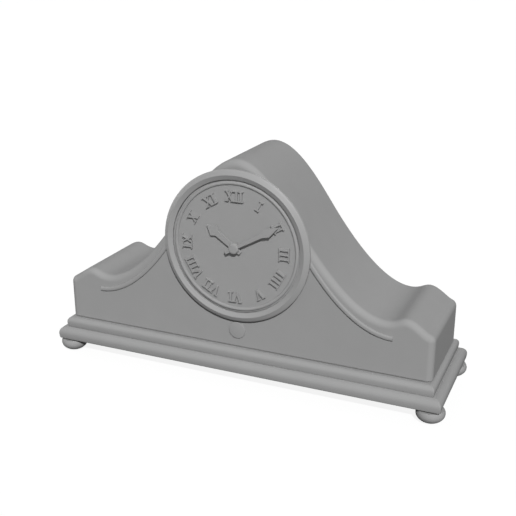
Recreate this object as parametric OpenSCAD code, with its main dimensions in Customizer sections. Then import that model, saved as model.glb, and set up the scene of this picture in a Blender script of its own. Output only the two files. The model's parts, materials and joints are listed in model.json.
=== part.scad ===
// Tambour mantel clock: a shaped case on a two-tier plinth with four ball feet, a round
// dial behind a hinged bezel, and a back-wound timepiece movement with a lever escapement.
// X runs along the clock, Y from front to back, Z up. The origin is under the middle of
// the clock, on the surface that it stands on.

/* [Case] */
// Length of the case, end to end
case_w = 282.6; // [230:0.2:340]
// Depth of the case, front face to rear face
case_d = 73.8; // [70:0.2:100]
// Thickness of the front and back boards
board_t = 12; // [10.5:0.5:14]
// Thickness of the bent top and ends
wrap_t = 5; // [3:0.5:6]
// Radius of the rounded arris round the front and back boards
edge_r = 4.6; // [2:0.2:6]

/* [Plinth] */
// Thickness of the upper tier
upper_t = 7.6; // [6:0.2:12]
// How far the upper tier stands out past the case, at the ends
upper_end = 2.9; // [1:0.1:8]
// How far the upper tier stands out past the case, at the front and back
upper_side = 5; // [1:0.1:10]
// Thickness of the lower tier
lower_t = 10.6; // [10:0.2:16]
// How far the lower tier stands out past the upper one, at the ends
lower_end = 5.8; // [2:0.1:10]
// How far the lower tier stands out past the upper one, at the front and back
lower_side = 3.8; // [2:0.1:8]

/* [Feet] */
// Largest radius of a foot
foot_r = 10; // [7:0.5:13]
// Height of the plinth above the surface
foot_rise = 9.4; // [8:0.2:12]
// Distance of a foot's axis from the end of the plinth
foot_end = 8.2; // [8:0.2:16]
// Distance of a foot's axis from the front or back of the plinth
foot_side = 9; // [8:0.2:16]
// Radius of the turned peg that holds the foot
peg_r = 3; // [2:0.25:4]
// Length of the peg in the plinth
peg_len = 7; // [4:0.5:8]

/* [Front trim] */
// Width of a bead strip
bead_w = 3.4; // [2:0.2:5]
// Height of a bead strip off the case
bead_h = 1.2; // [0.6:0.1:2]
// Radius of the roundel below the bezel
roundel_r = 6.3; // [4:0.1:8]
// Height of the roundel off the case
roundel_h = 0.9; // [0.4:0.1:2]
// Distance of the roundel's centre below the bezel
roundel_drop = 8.1; // [7.5:0.1:12]

/* [Dial and bezel] */
// Outer radius of the bezel
bezel_r = 55; // [53.5:0.5:57]
// Height of the bezel's lowest point above the plinth
bezel_foot = 21.5; // [19.5:0.5:24]
// Height of the case's crown above the bezel
crown_over = 6.1; // [5.5:0.1:8]
// Height of the bezel's crest off the case
crest_h = 4.8; // [4.4:0.1:5.2]
// Rise of the domed glass
glass_rise = 6.3; // [5.6:0.1:6.3]
// How far the dial's edge lies inside the bezel's outer edge
bezel_band = 7.2; // [6.8:0.1:7.6]
// Thickness of the dial
dial_t = 1; // [0.8:0.1:1.2]
// Distance of the numerals' circle from the dial's edge
numeral_inset = 11.1; // [9.8:0.1:13.8]
// Height of a numeral
numeral_h = 7.4; // [5:0.2:8]
// Height of the numerals off the dial
numeral_relief = 0.9; // [0.6:0.05:1]

/* [Hands] */
// Length of the hour hand
hour_len = 25.4; // [20:0.1:30]
// Length of the minute hand
minute_len = 38.4; // [30:0.1:39]
// Thickness of a hand
hand_t = 0.6; // [0.4:0.05:0.65]
// Radius of the hands' hubs and of the cap
hub_r = 3.7; // [3.4:0.1:5]

/* [Movement] */
// How far the round plates reach past the great wheel's teeth
plate_margin = 3; // [2:0.5:4]
// Thickness of a plate
plate_t = 1.5; // [1:0.1:2]
// Distance between the plates
plate_gap = 24; // [23:0.5:25]
// Radius of a pillar
pillar_r = 2.5; // [1.8:0.1:2.6]

/* [Back door] */
// Radius of the opening in the back board
door_bore_r = 40; // [36:0.5:42]
// How far the door laps over the opening
door_lap = 3; // [2:0.5:4]
// Thickness of the door
door_t = 1.2; // [0.8:0.1:2]

/* [Hidden] */

// General fits, overruns and angles
fit_gap = 0.05;
over = 1;
$fn = 96;
small_fn = 32;
right_angle = 90;
half_turn = 180;
full_turn = 360;

// Plinth sizes worked out from the case
upper_w = case_w + 2 * upper_end;
upper_d = case_d + 2 * upper_side;
lower_w = upper_w + 2 * lower_end;
lower_d = upper_d + 2 * lower_side;
lower_z = foot_rise;
upper_z = lower_z + lower_t;
case_z = upper_z + upper_t;
face_y = -case_d / 2;
dial_rise = bezel_foot + bezel_r;
dial_z = case_z + dial_rise;
case_h = dial_rise + bezel_r + crown_over;
nose_share = 0.42;
nose_steps = 6;

// Half of the case's top line, from the middle to the shoulder, as the control points of
// four joined curves: shares of the half length and of the height
top_line_shares = [
    [0, 1], [0.1294, 1], [0.264, 0.771], [0.3444, 0.6513],
    [0.441, 0.5074], [0.6151, 0.279], [0.7628, 0.279],
    [0.8103, 0.279], [0.8267, 0.3042], [0.8602, 0.3042],
    [0.9018, 0.3042], [0.9547, 0.2474], [0.975, 0.2409]
];
curve_steps = [14, 14, 8, 6];
corner_steps = 6;
edge_steps = 5;
hub_share_of_half = 0.42;

// The lower edge of a bead strip, in the same shares
bead_line_shares = [[0.3397, 0.5625], [0.4603, 0.3706], [0.6247, 0.1865], [0.8025, 0.1865]];
bead_steps = 18;
bezel_swing_gap = 0.65;
// A bead's section, across and off the case, in shares of its width and height
bead_section_shares = [[0, 0], [0, 0.55], [0.14, 0.9], [0.4, 1], [0.7, 0.94], [0.92, 0.6], [1, 0]];

// Foot: the ball's half height, so that the surface cuts a small flat
ball_mid = 6.4;
ball_half_h = 6.7;
ball_steps = 12;

// Glue blocks and plinth screws
block_leg = 11;
block_len = 36;
block_x_share = 0.56;
screw_r = 1.8;
screw_head_r = 3.4;
screw_head_t = 2;
screw_bite = 6;
screw_in = 4;
block_x = block_x_share * case_w / 2;
block_y = case_d / 2 - board_t;

// The four corners of the clock, as signs along X and Y
corner_signs = [[-1, -1], [1, -1], [-1, 1], [1, 1]];

// Where the seat and the movement are screwed to the front board
fixing_angles = [90, 210, 330];

// The dial lies inside the bezel, and the numerals inside the dial's edge
dial_r = bezel_r - bezel_band;
numeral_circle_r = dial_r - numeral_inset;
roundel_rise = bezel_foot - roundel_drop;

// Bezel seat, fixed to the front board
seat_t = 1;
seat_inset = 0.8;
seat_r = bezel_r - seat_inset;
seat_ledge = 7.2;
seat_bore_r = dial_r - seat_ledge;
spigot_t = 0.8;
spigot_len = 9;
front_bore_r = seat_bore_r + spigot_t + fit_gap;
seat_screw_inset = 3.2;
seat_screw_circle_r = dial_r - seat_screw_inset;
seat_screw_r = 0.9;
seat_screw_head_r = 1.7;
seat_screw_head_t = 0.8;
seat_screw_len = 5;

// Bezel section: outer wall, chamfer, two flats that meet in the crest, lip and rebate
wall_h = 2.6;
chamfer_w = 1.2;
chamfer_h = 3.7;
outer_flat_w = 2.4;
crest_r = bezel_r - chamfer_w - outer_flat_w;
lip_gap = 0.9;
lip_r = dial_r + lip_gap;
lip_h = 3.6;
lip_t = 0.15;
rebate_w = 1.6;
rebate_r = lip_r + rebate_w;
glass_t = 0.9;
glass_flat = 1.3;
glass_steps = 14;
glass_fullness = 4;

// Bezel hinge, hidden in the ring at the left
hinge_in = 1.65;
hinge_h = 2.05;
hinge_knuckle_r = 0.95;
hinge_pin_r = 0.5;
hinge_mid = 1.95;
hinge_side_gap = 0.15;
hinge_side = 3.2;
hinge_notch = 14;
hinge_sweep = 2;
hinge_roof_h = 3.3;
hinge_room = 1.2;
hinge_web_w = 1.5;
hinge_x = bezel_r - hinge_in;
side_start = hinge_mid + hinge_side_gap;
side_end = side_start + hinge_side;

// Dial furniture
sight_inset = 0.9;
sight_w = 2.6;
sight_h = 0.9;
sight_steps = 8;
dial_hole_r = 3.3;
dial_foot_r = 1.2;
dial_foot_inset = 4;
dial_foot_circle_r = seat_bore_r - dial_foot_inset;
dial_foot_turn = 16;
dial_foot_end = 1.4;

// Numeral strokes, in shares of the numeral's height
stem_share = 0.17;
thin_share = 0.09;
serif_share = 0.07;
stem_pitch_share = 0.45;
wide_letter_share = 0.92;
serif_over_share = 0.1;
numerals_in_order = ["XII", "I", "II", "III", "IIII", "V", "VI", "VII", "VIII", "IX", "X", "XI"];
hours = 12;

// Hands: outlines in shares of the length (along) and sizes across, and their directions
// at ten past ten, anticlockwise from three o'clock
hand_over_numerals = 1.7;
hands_apart = 0.3;
hour_angle = 145;
minute_angle = 30;
hour_neck_share = 0.62;
hour_head_share = 0.74;
hour_tail_share = 0.22;
hour_shaft_w = 1.9;
hour_neck_w = 2.2;
hour_head_w = 4.6;
minute_neck_share = 0.62;
minute_head_share = 0.755;
minute_tail_share = 0.19;
minute_shaft_w = 1.1;
minute_neck_w = 1.55;
minute_head_w = 3.2;
tail_w = 1.3;
cap_h = 1.3;
cap_flat_share = 0.45;

// Heights off the case's face, positive towards the front
dial_face_h = seat_t + dial_t;
minute_hand_h = dial_face_h + numeral_relief + hand_over_numerals;
hour_hand_h = minute_hand_h - hands_apart - hand_t;
cap_seat_h = minute_hand_h + hand_t;
front_plate_h = -board_t - plate_t;
back_plate_h = front_plate_h - plate_gap - plate_t;
back_face_h = back_plate_h;
glass_seat_h = lip_h - lip_t - glass_t;
shake = 0.2;

// Ears that hold the front plate to the case
ear_r = 4.4;
ear_run = 5.15;
ear_circle_r = front_bore_r + ear_run;
ear_screw_r = 1;
ear_screw_head_r = 2.2;
ear_screw_head_t = 1.2;
ear_screw_len = 4.5;

// Tooth proportions, in shares of the pitch and of the module
wheel_root_share = 0.5;
wheel_tip_share = 0.2;
wheel_add_share = 0.95;
wheel_ded_share = 1.25;
leaf_root_share = 0.36;
leaf_tip_share = 0.24;
leaf_add_share = 0.7;
leaf_ded_share = 1.35;

// Tooth counts and modules of the train
great_teeth = 72;
centre_leaves = 8;
centre_teeth = 60;
third_leaves = 8;
third_teeth = 64;
fourth_leaves = 8;
fourth_teeth = 60;
escape_leaves = 6;
coarse_module = 0.5;
third_module = 0.45;
fine_module = 0.4;
cannon_leaves = 12;
minute_teeth = 36;
minute_leaves = 10;
hour_teeth = 40;
motion_module = 0.4;
hour_module = motion_module * (cannon_leaves + minute_teeth) / (minute_leaves + hour_teeth);

// Places of the arbors, seen from the front
barrel_angle = 270;
third_angle = 60;
fourth_angle = 150;
escape_angle = 200;
balance_angle = 233;
minute_arbor_angle = 300;
barrel_xy = polar(centre_distance(great_teeth, centre_leaves, coarse_module), barrel_angle);
third_xy = polar(centre_distance(centre_teeth, third_leaves, coarse_module), third_angle);
fourth_xy = third_xy + polar(centre_distance(third_teeth, fourth_leaves, third_module), fourth_angle);
escape_xy = fourth_xy + polar(centre_distance(fourth_teeth, escape_leaves, fine_module), escape_angle);
lever_run = 8.6;
balance_run = 15.4;
lever_xy = escape_xy + polar(lever_run, balance_angle);
balance_xy = escape_xy + polar(balance_run, balance_angle);
minute_xy = polar(centre_distance(minute_teeth, cannon_leaves, motion_module), minute_arbor_angle);
plate_r = norm(barrel_xy) + great_teeth * coarse_module / 2 + plate_margin;

// Turn of each wheel at rest, so that every pair is in mesh
great_turn = 0;
centre_leaf_turn = mesh_turn(great_turn, great_teeth, barrel_angle + half_turn, centre_leaves);
centre_wheel_turn = 0;
third_leaf_turn = mesh_turn(centre_wheel_turn, centre_teeth, third_angle, third_leaves);
third_wheel_turn = 0;
fourth_leaf_turn = mesh_turn(third_wheel_turn, third_teeth, fourth_angle, fourth_leaves);
fourth_wheel_turn = 0;
escape_leaf_turn = mesh_turn(fourth_wheel_turn, fourth_teeth, escape_angle, escape_leaves);
cannon_turn = 0;
minute_wheel_turn = mesh_turn(cannon_turn, cannon_leaves, minute_arbor_angle, minute_teeth);
minute_leaf_turn = 0;
hour_wheel_turn = mesh_turn(minute_leaf_turn, minute_leaves, minute_arbor_angle + half_turn, hour_teeth);

// Arbors and pivots
arbor_r = 1;
pivot_r = 0.5;
centre_arbor_r = 1.2;
cannon_pipe_r = 1.85;
hour_pipe_in_r = cannon_pipe_r + fit_gap;
hour_pipe_r = 2.7;
barrel_arbor_r = 2.2;
barrel_pivot_r = 1.8;
pivot_shake = 0.05;
wheel_t = 1.2;
pinion_len = 2.8;
rim_share = 0.86;
hub_share = 0.3;
spokes = 5;
spoke_w = 1.5;

// Levels of the wheels behind the front plate, as distances from its rear face
great_level = 2.5;
centre_from_rear = 5.5;
centre_level = plate_gap - centre_from_rear;
third_level = plate_gap / 2;
fourth_level = plate_gap / 4;
escape_from_rear = 2.2;
escape_level = plate_gap - escape_from_rear;
escape_t = 0.6;

// Motion work between the front plate and the dial
motion_floor = 0.6;
cannon_leaf_len = 2.6;
minute_wheel_off = 1.3;
minute_leaf_len = 2.8;
hour_wheel_off = 4.3;
stud_r = 0.8;
stud_head_r = 1.6;
stud_head_t = 0.6;

// Going barrel
great_t = 1.5;
barrel_r = 16;
barrel_len = 11.5;
barrel_wall = 0.8;
cover_t = 0.9;
spring_turns = 5;
spring_t = 0.5;
spring_steps = 24;
spring_clear = 0.6;

// Winding work on the rear of the back plate
work_gap = 1;
ratchet_teeth = 20;
ratchet_r = 7;
ratchet_tooth = 1.1;
ratchet_undercut_share = 0.06;
ratchet_t = 1.4;
click_pivot_run = 13.5;
click_angle = 22;
click_nose_angle = 62;
click_w = 2.6;
click_t = 1.2;
click_clear = 0.15;
click_screw_r = 0.9;
click_spring_t = 0.4;
click_spring_gap = 0.9;
click_xy = barrel_xy + polar(click_pivot_run, click_angle);
click_nose_xy = barrel_xy + polar(ratchet_r + click_clear, click_nose_angle);
square_w = 3;
key_h = 13.5;
key_wing_r = 11.5;
key_wing_w = 9;
key_t = 2;
key_hub_r = 3.2;
knob_r = 5.5;
knob_len = 3.5;
knob_off = 7;

// Escapement and balance
escape_teeth = 15;
escape_r = 6.4;
escape_tooth = 1.7;
escape_root_share = 0.55;
escape_tip_share = 0.12;
escape_rim = 2.7;
escape_arbor_r = 0.55;
pallet_span = 2.5;
pallet_reach = 2.05;
pallet_w = 0.7;
lever_t = 0.8;
lever_level = escape_level + (lever_t - escape_t) / 2;
lever_w = 1.1;
fork_reach = 4;
fork_w = 2.4;
fork_slot = 0.9;
fork_slot_len = 1.3;
roller_r = 2;
roller_t = 0.7;
balance_r = 9.5;
balance_rim = 1.3;
balance_t = 1.1;
balance_off = 1.2;
staff_r = 0.8;
hair_turns = 4;
hair_t = 0.2;
hair_w = 0.5;
hair_off = 3;
hair_in_r = 1.6;
hair_out_r = 6.4;
cock_off = 5.6;
cock_t = 1.6;
cock_w = 5;
cock_angle = 285;
cock_reach = 13.2;
cock_foot_r = 3.2;
cock_screw_r = 1.1;
cock_screw_head_r = 2;
cock_screw_head_t = 1;
cock_xy = balance_xy + polar(cock_reach, cock_angle);

// Pillars, dial feet and nuts
pillar_inset = 5;
pillar_circle_r = plate_r - pillar_inset;
pillar_angles = [50, 135, 210, 325];
pillar_spigot_r = 1.2;
nut_r = 2.6;
nut_t = 1.4;
nut_sides = 6;

// Back door and its hinge
door_r = door_bore_r + door_lap;
door_hinge_run = 1.7;
door_hinge_drop = 14;
door_axis_off = 1.6;
door_knuckle_r = 1.4;
door_pin_r = 0.6;
door_knuckle_mid = 6;
door_knuckle_side = 5;
door_knuckle_gap = 0.2;
leaf_w = 9;
leaf_mid_x = door_r + door_hinge_run + leaf_w / 2;
leaf_half_h = door_knuckle_mid + door_knuckle_gap + door_knuckle_side;
leaf_screw_places = [-leaf_half_h / 2 - door_hinge_drop, leaf_half_h / 2 - door_hinge_drop];
leaf_t = 1;
leaf_screw_r = 1.1;
leaf_screw_head_r = 2;
leaf_screw_head_t = 0.7;
leaf_screw_len = 6;
vent_r = 1.6;
vent_circle_r = 29;
vents = 12;
door_knob_r = 3;
door_knob_len = 4.4;
door_knob_neck_r = 1.5;
door_knob_neck = 1.6;
door_knob_in = 6;

// Functions

// A point at a distance and an angle
function polar(r, a) = [r * cos(a), r * sin(a)];

// Distance between the axes of a meshed pair
function centre_distance(teeth_a, teeth_b, module_mm) = (teeth_a + teeth_b) * module_mm / 2;

// Turn of the second wheel that puts its gaps on the first wheel's teeth along the line
function mesh_turn(turn, teeth, angle, teeth_b) =
    angle + half_turn - (0.5 - (angle - turn) * teeth / full_turn) * full_turn / teeth_b;

// A cubic curve's point
function cubic(a, b, c, d, t) =
    pow(1 - t, 3) * a + 3 * pow(1 - t, 2) * t * b + 3 * (1 - t) * t * t * c + pow(t, 3) * d;

// Points of a cubic curve, leaving out the first one where asked
function curve(a, b, c, d, steps, from) = [for (i = [from : steps]) cubic(a, b, c, d, i / steps)];

function reversed(path) = [for (i = [len(path) - 1 : -1 : 0]) path[i]];
function unit(v) = v / norm(v);
function sized(shares, w, h) = [for (s = shares) [s.x * w, s.y * h]];

// Outward normal at a point of a path that runs anticlockwise, open at its ends
function path_normal(path, i) =
    let (
        before = i > 0 ? unit(path[i] - path[i - 1]) : [0, 0],
        after = i < len(path) - 1 ? unit(path[i + 1] - path[i]) : [0, 0],
        along = unit(before + after)
    ) [along.y, -along.x];
function inset(path, by) = [for (i = [0 : len(path) - 1]) path[i] - by * path_normal(path, i)];

// The case's outline above the plinth, anticlockwise from the foot of the right end
line_pts = sized(top_line_shares, case_w / 2, case_h);
top_line = [
    for (part = [0 : 3])
        each curve(line_pts[3 * part], line_pts[3 * part + 1], line_pts[3 * part + 2],
                   line_pts[3 * part + 3], curve_steps[part], part == 0 ? 0 : 1)
];
shoulder = line_pts[12];
shoulder_dir = unit(line_pts[12] - line_pts[11]);
corner_r = (case_w / 2 - shoulder.x) / (1 + shoulder_dir.y);
corner_mid = shoulder + corner_r * [shoulder_dir.y, -shoulder_dir.x];
corner_turn = right_angle + atan2(shoulder_dir.y, shoulder_dir.x);
half_outline = concat(
    top_line,
    [for (i = [1 : corner_steps]) corner_mid + polar(corner_r, corner_turn * (1 - i / corner_steps))],
    [[case_w / 2, 0]]
);
outline = concat(
    reversed(half_outline),
    [for (i = [1 : len(half_outline) - 1]) [-half_outline[i].x, half_outline[i].y]]
);

// Points of a toothed wheel with slim trapezoid teeth
function toothed(teeth, module_mm, add, ded, root_share, tip_share, turn) =
    let (r = teeth * module_mm / 2, pitch = full_turn / teeth)
    [
        for (i = [0 : teeth - 1])
            let (mid = turn + i * pitch)
            each [
                polar(r - ded * module_mm, mid - root_share * pitch / 2),
                polar(r + add * module_mm, mid - tip_share * pitch / 2),
                polar(r + add * module_mm, mid + tip_share * pitch / 2),
                polar(r - ded * module_mm, mid + root_share * pitch / 2)
            ]
    ];

// A flat spiral strip as one outline
function spiral(r_in, r_out, turns, thick, steps) =
    let (
        n = turns * steps,
        rs = [for (i = [0 : n]) r_in + (r_out - r_in) * i / n],
        out_pts = [for (i = [0 : n]) polar(rs[i] + thick / 2, full_turn * i / steps)],
        in_pts = [for (i = [n : -1 : 0]) polar(rs[i] - thick / 2, full_turn * i / steps)]
    ) concat(out_pts, in_pts);

// Frames

// Drawing plane on the case's face at the plinth: x along, y up, z towards the front
module on_face() {
    translate([0, face_y, case_z]) rotate([right_angle, 0, 0]) children();
}

// The same plane with its origin on the dial's axis
module on_dial() {
    translate([0, face_y, dial_z]) rotate([right_angle, 0, 0]) children();
}

// Places children on an arbor, at a height off the face
module at(xy, h) {
    translate([xy.x, xy.y, h]) children();
}

// Case

// Closed solid through rings of points that run anticlockwise, seen from the last ring,
// with the triangles that close the first ring
module skin(rings, cap) {
    n = len(rings[0]);
    last = len(rings) - 1;
    sides = [
        for (i = [0 : last - 1], j = [0 : n - 1])
            let (k = (j + 1) % n)
            each [
                [i * n + j, (i + 1) * n + j, (i + 1) * n + k],
                [i * n + j, (i + 1) * n + k, i * n + k]
            ]
    ];
    end_cap = [for (t = cap) [for (j = reversed(t)) last * n + j]];
    polyhedron(points = [for (ring = rings) each ring], faces = concat(sides, cap, end_cap));
}

// Triangles that fan out from a ring's point over a run of its other points
function fan(hub, from, to) = [for (j = [from : to - 1]) [hub, j, j + 1]];

// A shaped board, flat at the back, with a rounded arris at the front. Its outline is hollow
// at the sides, so its flat faces fan out from two points of its foot.
module rounded_board() {
    levels = concat(
        [[-board_t, 0]],
        [
            for (i = [0 : edge_steps])
                let (a = right_angle * i / edge_steps)
                [edge_r * (sin(a) - 1), edge_r * (1 - cos(a))]
        ]
    );
    top = len(half_outline) - 1;
    left_hub = 2 * top + 1;
    right_hub = left_hub + 1;
    hub_x = hub_share_of_half * case_w / 2;
    rings = [
        for (l = levels)
            [for (p = concat(inset(outline, l.y), [[-hub_x, 0], [hub_x, 0]])) [p.x, p.y, l.x]]
    ];
    skin(rings, concat(fan(right_hub, 0, top), [[right_hub, top, left_hub]], fan(left_hub, top, 2 * top)));
}

module case_front() {
    color("gray") difference() {
        on_face() rounded_board();
        on_dial() at([0, 0], -board_t - over) cylinder(h = board_t + 2 * over, r = front_bore_r);
        on_dial() seat_screw_places() at([0, 0], -seat_screw_len)
            cylinder(h = seat_screw_len + over, r = seat_screw_r + fit_gap, $fn = small_fn);
        on_dial() ear_places() at([0, 0], -board_t - over)
            cylinder(h = ear_screw_len + over, r = ear_screw_r + fit_gap, $fn = small_fn);
    }
}

module case_wrap() {
    inner = inset(outline, wrap_t);
    hollow = concat(
        [[inner[0].x, -over]],
        inner,
        [[inner[len(inner) - 1].x, -over]]
    );
    color("gray") on_face() at([0, 0], board_t - case_d)
        linear_extrude(case_d - 2 * board_t) difference() {
            polygon(outline);
            polygon(hollow);
        }
}

module case_back() {
    color("gray") difference() {
        on_face() at([0, 0], -case_d) mirror([0, 0, 1]) rounded_board();
        on_dial() at([0, 0], -case_d - over) cylinder(h = board_t + 2 * over, r = door_bore_r);
        for (y = leaf_screw_places)
            on_dial() at([leaf_mid_x, y], -case_d - over)
                cylinder(h = leaf_screw_len + over, r = leaf_screw_r + fit_gap, $fn = small_fn);
    }
}

// Plinth

// A flat board with bullnose edges and mitred corners
module tier(w, d, t) {
    r = nose_share * t;
    intersection() {
        rotate([right_angle, 0, 0]) linear_extrude(d + 2 * over, center = true) nosed_section(w, t, r);
        rotate([right_angle, 0, right_angle]) linear_extrude(w + 2 * over, center = true)
            nosed_section(d, t, r);
    }
}

module nosed_section(w, t, r) {
    corners = [[w / 2 - r, t - r, 0], [r - w / 2, t - r, 1], [r - w / 2, r, 2], [w / 2 - r, r, 3]];
    polygon([
        for (c = corners, i = [0 : nose_steps])
            [c.x, c.y] + polar(r, right_angle * (c.z + i / nose_steps))
    ]);
}

module at_blocks() {
    for (s = corner_signs)
        translate([s.x * block_x, s.y * (block_y - screw_in), 0]) children();
}

module plinth_screw_shape(grow) {
    cylinder(h = lower_t + upper_t + screw_bite + grow, r = screw_r + grow, $fn = small_fn);
    cylinder(h = screw_head_t + grow, r = screw_head_r + grow, $fn = small_fn);
}

module glue_blocks() {
    color("burlywood") difference() {
        for (s = corner_signs)
            translate([s.x * block_x, s.y * block_y, case_z])
                mirror([0, s.y > 0 ? 1 : 0, 0])
                    rotate([right_angle, 0, right_angle])
                        linear_extrude(block_len, center = true)
                            polygon([[0, 0], [block_leg, 0], [0, block_leg]]);
        translate([0, 0, lower_z]) at_blocks() plinth_screw_shape(fit_gap);
    }
}

module plinth_upper() {
    color("gray") difference() {
        translate([0, 0, upper_z]) tier(upper_w, upper_d, upper_t);
        translate([0, 0, lower_z - over]) at_blocks()
            cylinder(h = lower_t + upper_t + 2 * over, r = screw_r + fit_gap, $fn = small_fn);
    }
}

module plinth_lower() {
    color("gray") difference() {
        translate([0, 0, lower_z]) tier(lower_w, lower_d, lower_t);
        translate([0, 0, lower_z - over]) at_blocks()
            cylinder(h = lower_t + 2 * over, r = screw_r + fit_gap, $fn = small_fn);
        translate([0, 0, lower_z - over]) at_blocks()
            cylinder(h = screw_head_t + fit_gap + over, r = screw_head_r + fit_gap, $fn = small_fn);
        for (s = corner_signs)
            translate(foot_place(s) + [0, 0, lower_z - over])
                cylinder(h = peg_len + fit_gap + over, r = peg_r + fit_gap);
    }
}

module plinth_screws() {
    color("goldenrod") translate([0, 0, lower_z]) at_blocks() plinth_screw_shape(0);
}

// Feet
function foot_place(s) = [s.x * (lower_w / 2 - foot_end), s.y * (lower_d / 2 - foot_side), 0];

module foot(s) {
    low = asin(-ball_mid / ball_half_h);
    high = asin((foot_rise - ball_mid) / ball_half_h);
    color("gray") translate(foot_place(s)) {
        rotate_extrude() polygon(concat(
            [[0, 0], [foot_r * cos(low), 0]],
            [
                for (i = [1 : ball_steps - 1])
                    let (a = low + (high - low) * i / ball_steps)
                    [foot_r * cos(a), ball_mid + ball_half_h * sin(a)]
            ],
            [[foot_r * cos(high), foot_rise], [0, foot_rise]]
        ));
        translate([0, 0, foot_rise - over]) cylinder(h = peg_len + over, r = peg_r);
    }
}

module foot_front_left() { foot(corner_signs[0]); }
module foot_front_right() { foot(corner_signs[1]); }
module foot_back_left() { foot(corner_signs[2]); }
module foot_back_right() { foot(corner_signs[3]); }

// Front trim

module bead(start_gap) {
    path_pts = sized(bead_line_shares, case_w / 2, case_h);
    path = curve(path_pts[0], path_pts[1], path_pts[2], path_pts[3], bead_steps, 0);
    section = sized(bead_section_shares, bead_w, bead_h);
    rings = [
        for (i = [0 : len(path) - 1])
            let (up = -path_normal(path, i))
            [for (s = reversed(section)) [path[i].x + up.x * s.x, path[i].y + up.y * s.x, s.y]]
    ];
    color("gray") difference() {
        on_face() skin(rings, fan(0, 1, len(section) - 1));
        on_dial() at([0, 0], -over) cylinder(h = bead_h + 2 * over, r = bezel_r + start_gap);
    }
}

// The left one ends clear of the bezel's rim as it swings open
module bead_right() { bead(fit_gap); }
module bead_left() { mirror([1, 0, 0]) bead(bezel_swing_gap); }

module roundel() {
    bevel = roundel_h / 3;
    color("gray") on_face() at([0, roundel_rise], 0) rotate_extrude()
        polygon([
            [0, 0], [roundel_r, 0], [roundel_r, roundel_h - bevel],
            [roundel_r - bevel, roundel_h], [0, roundel_h]
        ]);
}

// Bezel and its seat

// A cylinder on the bezel hinge's axis, from one height to another
module hinge_rod(from, to, r) {
    translate([-hinge_x, from, hinge_h]) rotate([-right_angle, 0, 0])
        cylinder(h = to - from, r = r, $fn = small_fn);
}

module both_sides() {
    children();
    mirror([0, 1, 0]) children();
}

module seat_screw_places() {
    for (a = fixing_angles) at(polar(seat_screw_circle_r, a), 0) children();
}

module bezel_seat() {
    color("goldenrod") on_dial() difference() {
        union() {
            difference() {
                rotate_extrude() polygon([
                    [seat_bore_r, -spigot_len], [seat_bore_r + spigot_t, -spigot_len],
                    [seat_bore_r + spigot_t, 0], [seat_r, 0], [seat_r, seat_t], [seat_bore_r, seat_t]
                ]);
                translate([-bezel_r - over, -hinge_notch, -over])
                    cube([bezel_r + over - hinge_x + hinge_sweep, 2 * hinge_notch, seat_t + 2 * over]);
            }
            both_sides() intersection() {
                translate([-bezel_r - over, side_start, 0])
                    cube([bezel_r + over - hinge_x + hinge_sweep, hinge_side, seat_t]);
                cylinder(h = seat_t, r = seat_r);
            }
            both_sides() hinge_rod(side_start, side_end, hinge_knuckle_r);
            both_sides() translate([-hinge_x - hinge_web_w / 2, side_start, seat_t / 2])
                cube([hinge_web_w, hinge_side, hinge_h - seat_t / 2]);
        }
        hinge_rod(-side_end - over, side_end + over, hinge_pin_r + fit_gap / 2);
        seat_screw_places() at([0, 0], -over)
            cylinder(h = seat_t + 2 * over, r = seat_screw_r + fit_gap, $fn = small_fn);
        seat_screw_places() at([0, 0], seat_t - seat_screw_head_t)
            cylinder(h = seat_screw_head_t + over, r = seat_screw_head_r + fit_gap, $fn = small_fn);
    }
}

module seat_screws() {
    color("goldenrod") on_dial() seat_screw_places() {
        at([0, 0], seat_t - seat_screw_head_t)
            cylinder(h = seat_screw_head_t - fit_gap, r = seat_screw_head_r, $fn = small_fn);
        at([0, 0], fit_gap - seat_screw_len)
            cylinder(h = seat_screw_len + seat_t - seat_screw_head_t, r = seat_screw_r, $fn = small_fn);
    }
}

module bezel_hinge_pin() {
    color("silver") on_dial() hinge_rod(-side_end, side_end, hinge_pin_r);
}

module bezel() {
    section = [
        [rebate_r, seat_t], [bezel_r, seat_t], [bezel_r, wall_h],
        [bezel_r - chamfer_w, chamfer_h], [crest_r, crest_h], [lip_r, lip_h],
        [lip_r, lip_h - lip_t], [rebate_r, lip_h - lip_t]
    ];
    slot_h = hinge_roof_h - seat_t;
    color("gray") on_dial() difference() {
        rotate_extrude() polygon(section);
        both_sides() translate([-bezel_r - over, hinge_mid + fit_gap, seat_t - over])
            cube([
                bezel_r + over - hinge_x + hinge_room,
                hinge_side + 2 * hinge_side_gap - fit_gap,
                slot_h + over
            ]);
        hinge_rod(-hinge_mid - over, hinge_mid + over, hinge_pin_r + fit_gap);
    }
}

module bezel_glass() {
    flat_r = rebate_r - fit_gap - glass_flat;
    dome = [
        for (i = [0 : glass_steps])
            let (s = 1 - i / glass_steps)
            [flat_r * s, glass_rise * (1 - pow(s, glass_fullness))]
    ];
    color("lightcyan", 0.3) on_dial() at([0, 0], glass_seat_h) rotate_extrude() polygon(concat(
        reversed(dome),
        [[rebate_r - fit_gap, 0], [rebate_r - fit_gap, glass_t]],
        [for (p = dome) [p.x, p.y + glass_t]]
    ));
}

module glass_ring() {
    color("goldenrod") on_dial() at([0, 0], seat_t + 2 * fit_gap) difference() {
        cylinder(h = glass_seat_h - seat_t - 2 * fit_gap, r = rebate_r - fit_gap);
        at([0, 0], -over) cylinder(h = glass_seat_h + 2 * over, r = lip_r);
    }
}

// Dial

module dial_foot_places() {
    for (i = [0 : 3]) at(polar(dial_foot_circle_r, dial_foot_turn + i * right_angle), 0) children();
}

module dial() {
    color("silver") on_dial() at([0, 0], seat_t) difference() {
        cylinder(h = dial_t, r = dial_r);
        at([0, 0], -over) cylinder(h = dial_t + 2 * over, r = dial_hole_r);
    }
}

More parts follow.
